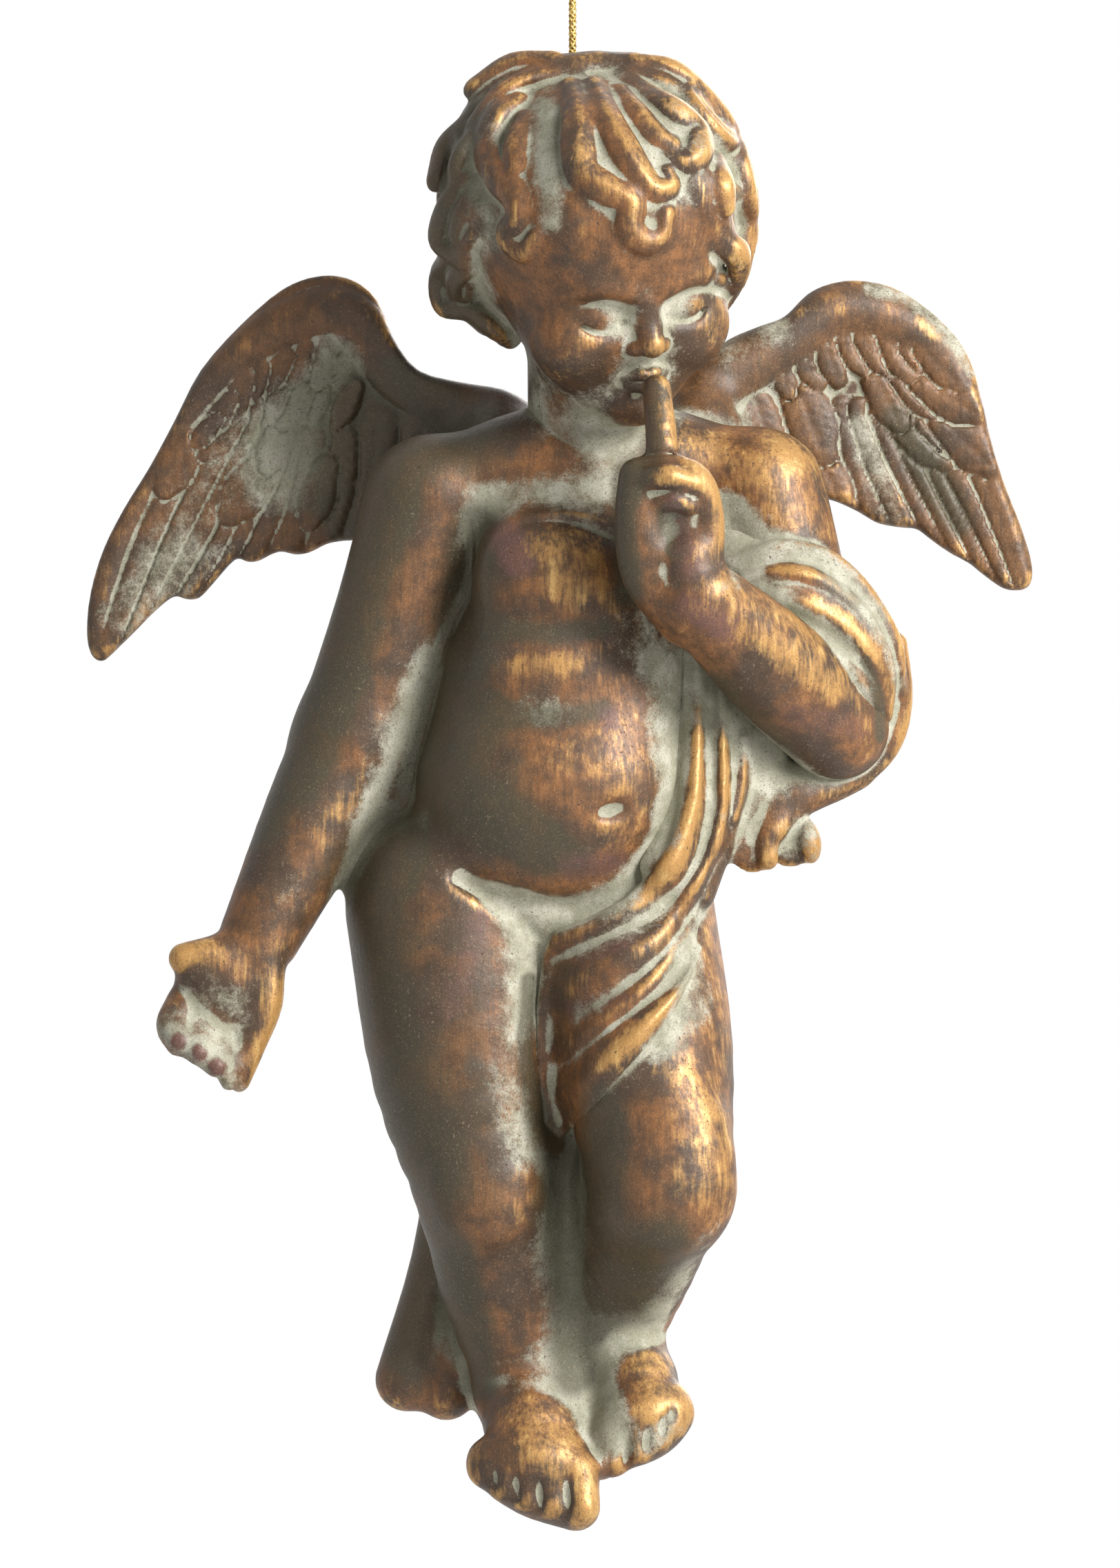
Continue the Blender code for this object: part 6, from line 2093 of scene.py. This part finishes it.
@dataclass
class Studio:
    """The camera, the soft lamps and the white surroundings.

    Attributes:
        width: The photograph's width, in pixels; not used.
        height: The photograph's height, in pixels; not used.
        view_height: What the photograph shows from top to bottom, in metres.
        centre: The middle of the view.
        distance: How far off the camera stands.
        floor: The floor's height.
    """

    width: int = 1624
    height: int = 2274
    view_height: float = 0.208
    centre: Point = (-0.00166, 0.0, -0.1390)
    distance: float = 1.4
    floor: float = -0.268

    def set_up(self) -> None:
        """Places everything and sets the plain view transform."""
        scene = bpy.context.scene
        scene.view_settings.view_transform = "Standard"
        self._camera(scene)
        self._lamps()
        self._floor()
        self._world(scene)

    def _camera(self, scene: bpy.types.Scene) -> None:
        """A level camera with a long lens, framed as the photograph is."""
        data = bpy.data.cameras.new("photograph")
        data.sensor_fit = "VERTICAL"
        data.sensor_height = 24.0
        data.lens = 24.0 * self.distance / self.view_height
        data.clip_start = 0.01
        camera = bpy.data.objects.new("photograph", data)
        camera.location = (self.centre[0], self.centre[1] - self.distance, self.centre[2])
        camera.rotation_euler = (math.radians(90), 0, 0)
        bpy.context.collection.objects.link(camera)
        scene.camera = camera

    def _lamps(self) -> None:
        """A broad key from the right, and a weak fill from the left."""
        for name, place, size, power in (
            ("key", (0.70, -0.60, 0.47), 0.40, 18.0),
            ("fill", (-0.45, -1.10, 0.10), 0.8, 0.5),
            ("back", (0.35, 0.80, 0.40), 0.6, 6.0),
        ):
            data = bpy.data.lights.new(name, "AREA")
            data.energy = power
            data.size = size
            lamp = bpy.data.objects.new(name, data)
            lamp.location = Vector(self.centre) + Vector(place)
            lamp.rotation_euler = (Vector(self.centre) - lamp.location).to_track_quat("-Z", "Y").to_euler()
            bpy.context.collection.objects.link(lamp)

    def _white(self, graph: Graph, lit: bpy.types.NodeSocket) -> bpy.types.NodeSocket:
        """Mixes plain white in for what the camera and the reflections see."""
        path = graph.node("ShaderNodeLightPath").outputs
        seen = graph.math("MAXIMUM", path["Is Camera Ray"], path["Is Glossy Ray"])
        seen = graph.math("MAXIMUM", seen, path["Is Transmission Ray"])
        glow = graph.node("ShaderNodeEmission")
        glow.inputs["Strength"].default_value = 1.0
        mix = graph.node("ShaderNodeMixShader")
        far = graph.node("ShaderNodeVectorMath", operation="LENGTH")
        graph.feed(far.inputs[0], graph.node("ShaderNodeTexCoord").outputs["Object"])
        white = graph.math("ADD", 0.75, graph.math("MULTIPLY", graph.ramp(far.outputs["Value"], 0.12, 0.33), 0.25))
        graph.feed(mix.inputs[0], graph.math("MULTIPLY", seen, white))
        graph.feed(mix.inputs[1], lit)
        graph.feed(mix.inputs[2], glow.outputs[0])
        return mix.outputs[0]

    def _floor(self) -> None:
        """A pale floor below the hanging figure."""
        mesh = bpy.data.meshes.new("floor")
        reach = 3.0
        mesh.from_pydata([(-reach, -reach, 0), (reach, -reach, 0), (reach, reach, 0), (-reach, reach, 0)], [], [(0, 1, 2, 3)])
        floor = bpy.data.objects.new("floor", mesh)
        floor.location = (0, 0, self.floor)
        bpy.context.collection.objects.link(floor)
        material = bpy.data.materials.new("Pale floor")
        material.use_nodes = True
        graph = Graph(material.node_tree)
        shader = material.node_tree.nodes["Principled BSDF"]
        place = graph.node("ShaderNodeTexCoord").outputs["Object"]
        tone = graph.blend(graph.ramp(graph.noise(place, 3.0), 0.3, 0.7), (0.90, 0.90, 0.90, 1), (0.94, 0.94, 0.94, 1))
        graph.feed(shader.inputs["Base Color"], tone)
        shader.inputs["Roughness"].default_value = 0.9
        out = material.node_tree.nodes["Material Output"]
        graph.feed(out.inputs["Surface"], self._white(graph, shader.outputs[0]))
        mesh.materials.append(material)

    @staticmethod
    def _world(scene: bpy.types.World) -> None:
        """White surroundings for the camera and the reflections, and a weaker ambient light."""
        world = bpy.data.worlds.new("studio")
        world.use_nodes = True
        scene.world = world
        graph = Graph(world.node_tree)
        path = graph.node("ShaderNodeLightPath").outputs
        seen = graph.math("MAXIMUM", path["Is Camera Ray"], path["Is Glossy Ray"])
        seen = graph.math("MAXIMUM", seen, path["Is Transmission Ray"])
        background = world.node_tree.nodes["Background"]
        background.inputs["Color"].default_value = (1, 1, 1, 1)
        strength = graph.math("ADD", graph.math("MULTIPLY", seen, 0.94), 0.06)
        graph.feed(background.inputs["Strength"], strength)


@dataclass
class Cherub:
    """The whole figure: sculpts every casting, reads the figure's hollows and dresses the pieces."""

    pose: Pose = field(default_factory=Pose)
    seam: float = 2.2
    lap: float = 0.4

    def build(self) -> None:
        """Builds the castings, the plug and the carried-over pins."""
        trunk = Trunk(self.pose).sculpt()
        arms = Arms(self.pose).sculpt(trunk)
        joined = Clay(self.trunk_corner(trunk, 0), self.trunk_corner(trunk, -1), trunk.step)
        joined.axes, joined.low = trunk.axes, trunk.low
        joined.field = soft_min(trunk.field, arms.field, self.seam)
        LOG.info("body modelled")
        head = Head(self.pose).sculpt()
        LOG.info("head modelled")
        sash = Sash().sculpt(trunk)
        wings = {wing.name: wing.sculpt() for wing in (right_wing(), left_wing())}
        LOG.info("sash and wings modelled")
        relief = Relief()
        relief.fill([joined, head, sash, *wings.values()])
        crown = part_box("crown_plug")[1][2] - 0.4 * MM
        modeller = Modeller(crown, relief, Brushwork())
        patina = PatinaGroup()
        split = (trunk.field - arms.field) / 2
        flesh = AntiqueResin("Bronzed flesh", gilding=0.48, washing=0.36).material(patina)
        gilded = AntiqueResin("Gilded cloth", gilding=0.50, washing=0.74).material(patina)
        feathered = AntiqueResin("Bronzed feathers", gilding=0.16, washing=0.62, copper=paint(128, 88, 52)).material(patina)
        hair = AntiqueResin("Bronzed head", gilding=0.6, washing=0.5).material(patina)

        body_skin = joined.skin(np.maximum(joined.field, split - self.lap)).relaxed()
        modeller.piece("body", body_skin, flesh, "body_casting")
        arm_skin = joined.skin(np.maximum(joined.field, -split - self.lap)).relaxed()
        for name, chosen in (("right_arm", arm_skin.points[:, 0] < 0), ("left_arm", arm_skin.points[:, 0] >= 0)):
            modeller.piece(name, arm_skin.parted(chosen), flesh, name + "_casting")
        modeller.piece("head", head.skin().relaxed(), hair, "head_casting")
        modeller.piece("sash", sash.skin().relaxed(), gilded, "sash_casting")
        for name, clay in wings.items():
            modeller.piece(name, clay.skin().relaxed(), feathered, name + "_casting")
        self._plug(modeller, flesh)
        steel = PinMetal().material()
        for node in ("neck_dowel", "right_shoulder_dowel", "left_shoulder_dowel", "right_wing_pin", "left_wing_pin"):
            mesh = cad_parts[node].data
            mesh.materials.clear()
            mesh.materials.append(steel)

    @staticmethod
    def trunk_corner(clay: Clay, end: int) -> Point:
        """One corner of a block of clay."""
        return tuple(float(axis[end]) for axis in clay.axes)

    @staticmethod
    def _plug(modeller: Modeller, material: bpy.types.Material) -> None:
        """The dab of resin that holds the cord in the crown."""
        clay = Clay((-3.5, -3.5, -11.0), (3.5, 3.5, 2.0), 0.22)
        clay.press(limb((0, 0, -9.0, 1.5), (0, 0, -5.0, 1.6), (0, 0, -1.3, 1.6)))
        clay.press(Ball((0.1, 0.0, -0.9), (1.8, 1.7, 1.1)), 0.6)
        clay.press(Ball((-0.5, 0.4, -0.6), (0.9, 0.8, 0.8)), 0.5)
        modeller.piece("crown_dab", clay.skin().relaxed(), material, "crown_plug")


def right_wing() -> Wing:
    """The wing on the viewer's left."""
    return Wing(
        name="right_wing",
        root=(-9.5, 12.5, -53.0),
        outline=(
            (-4.0, -47.0), (-9.0, -43.6), (-15.0, -42.4), (-20.6, -40.8), (-24.0, -36.4), (-26.2, -31.2), (-29.6, -28.5),
            (-34.0, -28.0), (-38.8, -29.7), (-44.4, -34.4), (-49.9, -40.6), (-53.4, -47.4), (-56.8, -53.7), (-60.2, -59.2),
            (-63.0, -64.8), (-64.7, -70.6), (-65.2, -75.8), (-64.6, -78.8), (-63.2, -79.8), (-61.6, -78.6), (-58.2, -75.2),
            (-55.6, -72.6), (-53.4, -71.0), (-51.8, -71.4), (-50.0, -71.2), (-48.0, -69.0), (-45.2, -66.0), (-43.6, -66.4),
            (-42.0, -66.2), (-39.4, -65.0), (-37.2, -65.4), (-35.4, -65.2), (-33.0, -64.0), (-30.8, -63.6), (-27.6, -63.4),
            (-22.0, -62.6), (-14.0, -61.6), (-6.0, -60.0),
        ),
        roll=(
            (-9.0, -47.4, 4.4), (-16.0, -45.6, 4.2), (-23.0, -41.2, 4.2), (-27.4, -36.2, 4.0), (-32.0, -33.0, 3.8),
            (-39.0, -35.0, 3.6), (-45.6, -39.8, 2.8), (-51.0, -46.0, 2.0), (-56.8, -56.0, 1.6), (-61.2, -65.0, 1.5),
            (-63.4, -73.6, 1.4), (-63.6, -78.0, 1.3),
        ),
        coverts=(
            (((-34, -57), (-36, -57)), 1, 3.0),
            (((-43.0, -56.0), (-44.6, -56.0)), 1, 3.2),
            (((-40.0, -50.5), (-46.0, -51.5)), 2, 2.6),
            (((-52.6, -53.2), (-53.4, -53.6)), 1, 2.9),
            (((-29, -45.6), (-34, -44.0), (-39, -44.6), (-44, -47.2), (-48.6, -50.6)), 6, 2.3),
            (((-29, -40.6), (-35, -39.4), (-41, -41.4), (-46, -45.4), (-50, -50.0)), 8, 1.9),
        ),
        quills=(
            ((-14, -50), (-15, -56), (-16, -61.4), 3.6),
            ((-20, -48), (-21, -55), (-22, -61.8), 3.6),
            ((-26, -48), (-27, -55), (-28.4, -62.4), 3.4),
            ((-31, -50), (-31.8, -57), (-33.4, -63.6), 3.0),
            ((-35, -50), (-36.4, -58), (-38.6, -65.0), 2.9),
            ((-38.6, -50), (-41.0, -59), (-43.6, -66.0), 2.7),
            ((-41.4, -52), (-44.8, -61), (-48.2, -68.4), 2.5),
            ((-43.4, -53), (-48.0, -62.6), (-52.4, -71.0), 2.4),
            ((-45.0, -52), (-50.6, -62.6), (-56.2, -73.0), 2.3),
            ((-46.4, -49), (-53.0, -61.4), (-59.8, -75.6), 2.2),
            ((-47.6, -45.6), (-55.2, -59.4), (-62.2, -77.6), 2.0),
        ),
    )


def left_wing() -> Wing:
    """The wing on the viewer's right."""
    return Wing(
        name="left_wing",
        root=(17.0, 12.5, -51.0),
        outline=(
            (11.0, -44.0), (17.0, -39.6), (21.0, -36.6), (25.0, -34.9), (28.4, -33.6), (31.4, -30.6), (34.2, -29.2),
            (38.0, -28.6), (43.0, -29.5), (47.7, -32.4), (51.6, -36.2), (53.8, -40.2), (55.2, -45.6), (56.6, -51.6),
            (58.4, -56.8), (60.2, -61.4), (61.6, -66.0), (61.7, -68.8), (60.6, -70.1), (58.0, -70.0), (55.6, -68.4),
            (53.0, -66.4), (50.4, -65.0), (47.9, -63.2), (46.2, -62.0), (44.6, -61.8), (42.8, -61.6), (41.0, -61.2),
            (39.2, -60.2), (37.6, -59.3), (35.6, -58.4), (33.8, -57.9), (31.0, -57.5), (28.0, -56.8), (20.0, -57.6),
                (11.0, -57.0),
        ),
        roll=(
            (16.0, -45.0, 4.6), (24.0, -40.0, 4.2), (30.4, -35.8, 3.9), (35.6, -33.0, 3.7), (41.6, -33.6, 3.4),
            (47.4, -36.4, 2.8), (51.6, -40.6, 1.9), (54.2, -48.0, 1.5), (57.0, -56.6, 1.4), (59.4, -63.6, 1.4),
            (60.4, -68.0, 1.2),
        ),
        coverts=(
            (((34.6, -55.6), (36.0, -55.8)), 1, 2.5),
            (((45.4, -49.6), (50.0, -49.4), (54.0, -50.6)), 3, 3.0),
            (((25.8, -49.6), (27.0, -50.0)), 1, 3.3),
            (((40.6, -44.6), (46.0, -43.6), (52.6, -44.4)), 3, 2.9),
            (((31.6, -46.8), (32.6, -47.0)), 1, 3.9),
            (((26.4, -41.6), (33.0, -39.0), (39.0, -38.4), (45.0, -38.8), (50.6, -40.6)), 8, 2.1),
        ),
        quills=(
            ((20.0, -46), (21.6, -52), (23.0, -56.4), 3.4),
            ((25.0, -45), (27.0, -51), (29.6, -56.0), 3.2),
            ((30.4, -44), (31.8, -50), (33.2, -56.2), 3.2),
            ((33.6, -47), (35.4, -53), (37.0, -58.2), 2.4),
            ((36.0, -46), (38.4, -53), (40.6, -60.2), 2.3),
            ((38.6, -46), (41.4, -54), (44.4, -61.2), 2.2),
            ((41.0, -46), (44.6, -54), (49.2, -63.4), 2.2),
            ((43.0, -46), (47.6, -55), (52.8, -66.0), 2.2),
            ((45.2, -46.6), (50.4, -56), (56.0, -68.2), 2.1),
            ((48.0, -47.6), (53.2, -57), (58.6, -69.0), 2.0),
            ((52.0, -49), (56.4, -58), (60.2, -68.6), 2.0),
        ),
        lean=(-4.0, 66.0),
    )


def main() -> None:
    """Builds the figure, the cord and the studio."""
    logging.basicConfig(level=logging.INFO, format="%(message)s")
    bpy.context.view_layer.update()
    Cherub().build()
    BraidedCord().dress(GoldThread().material())
    Studio().set_up()


if __name__ == "__main__":
    main()
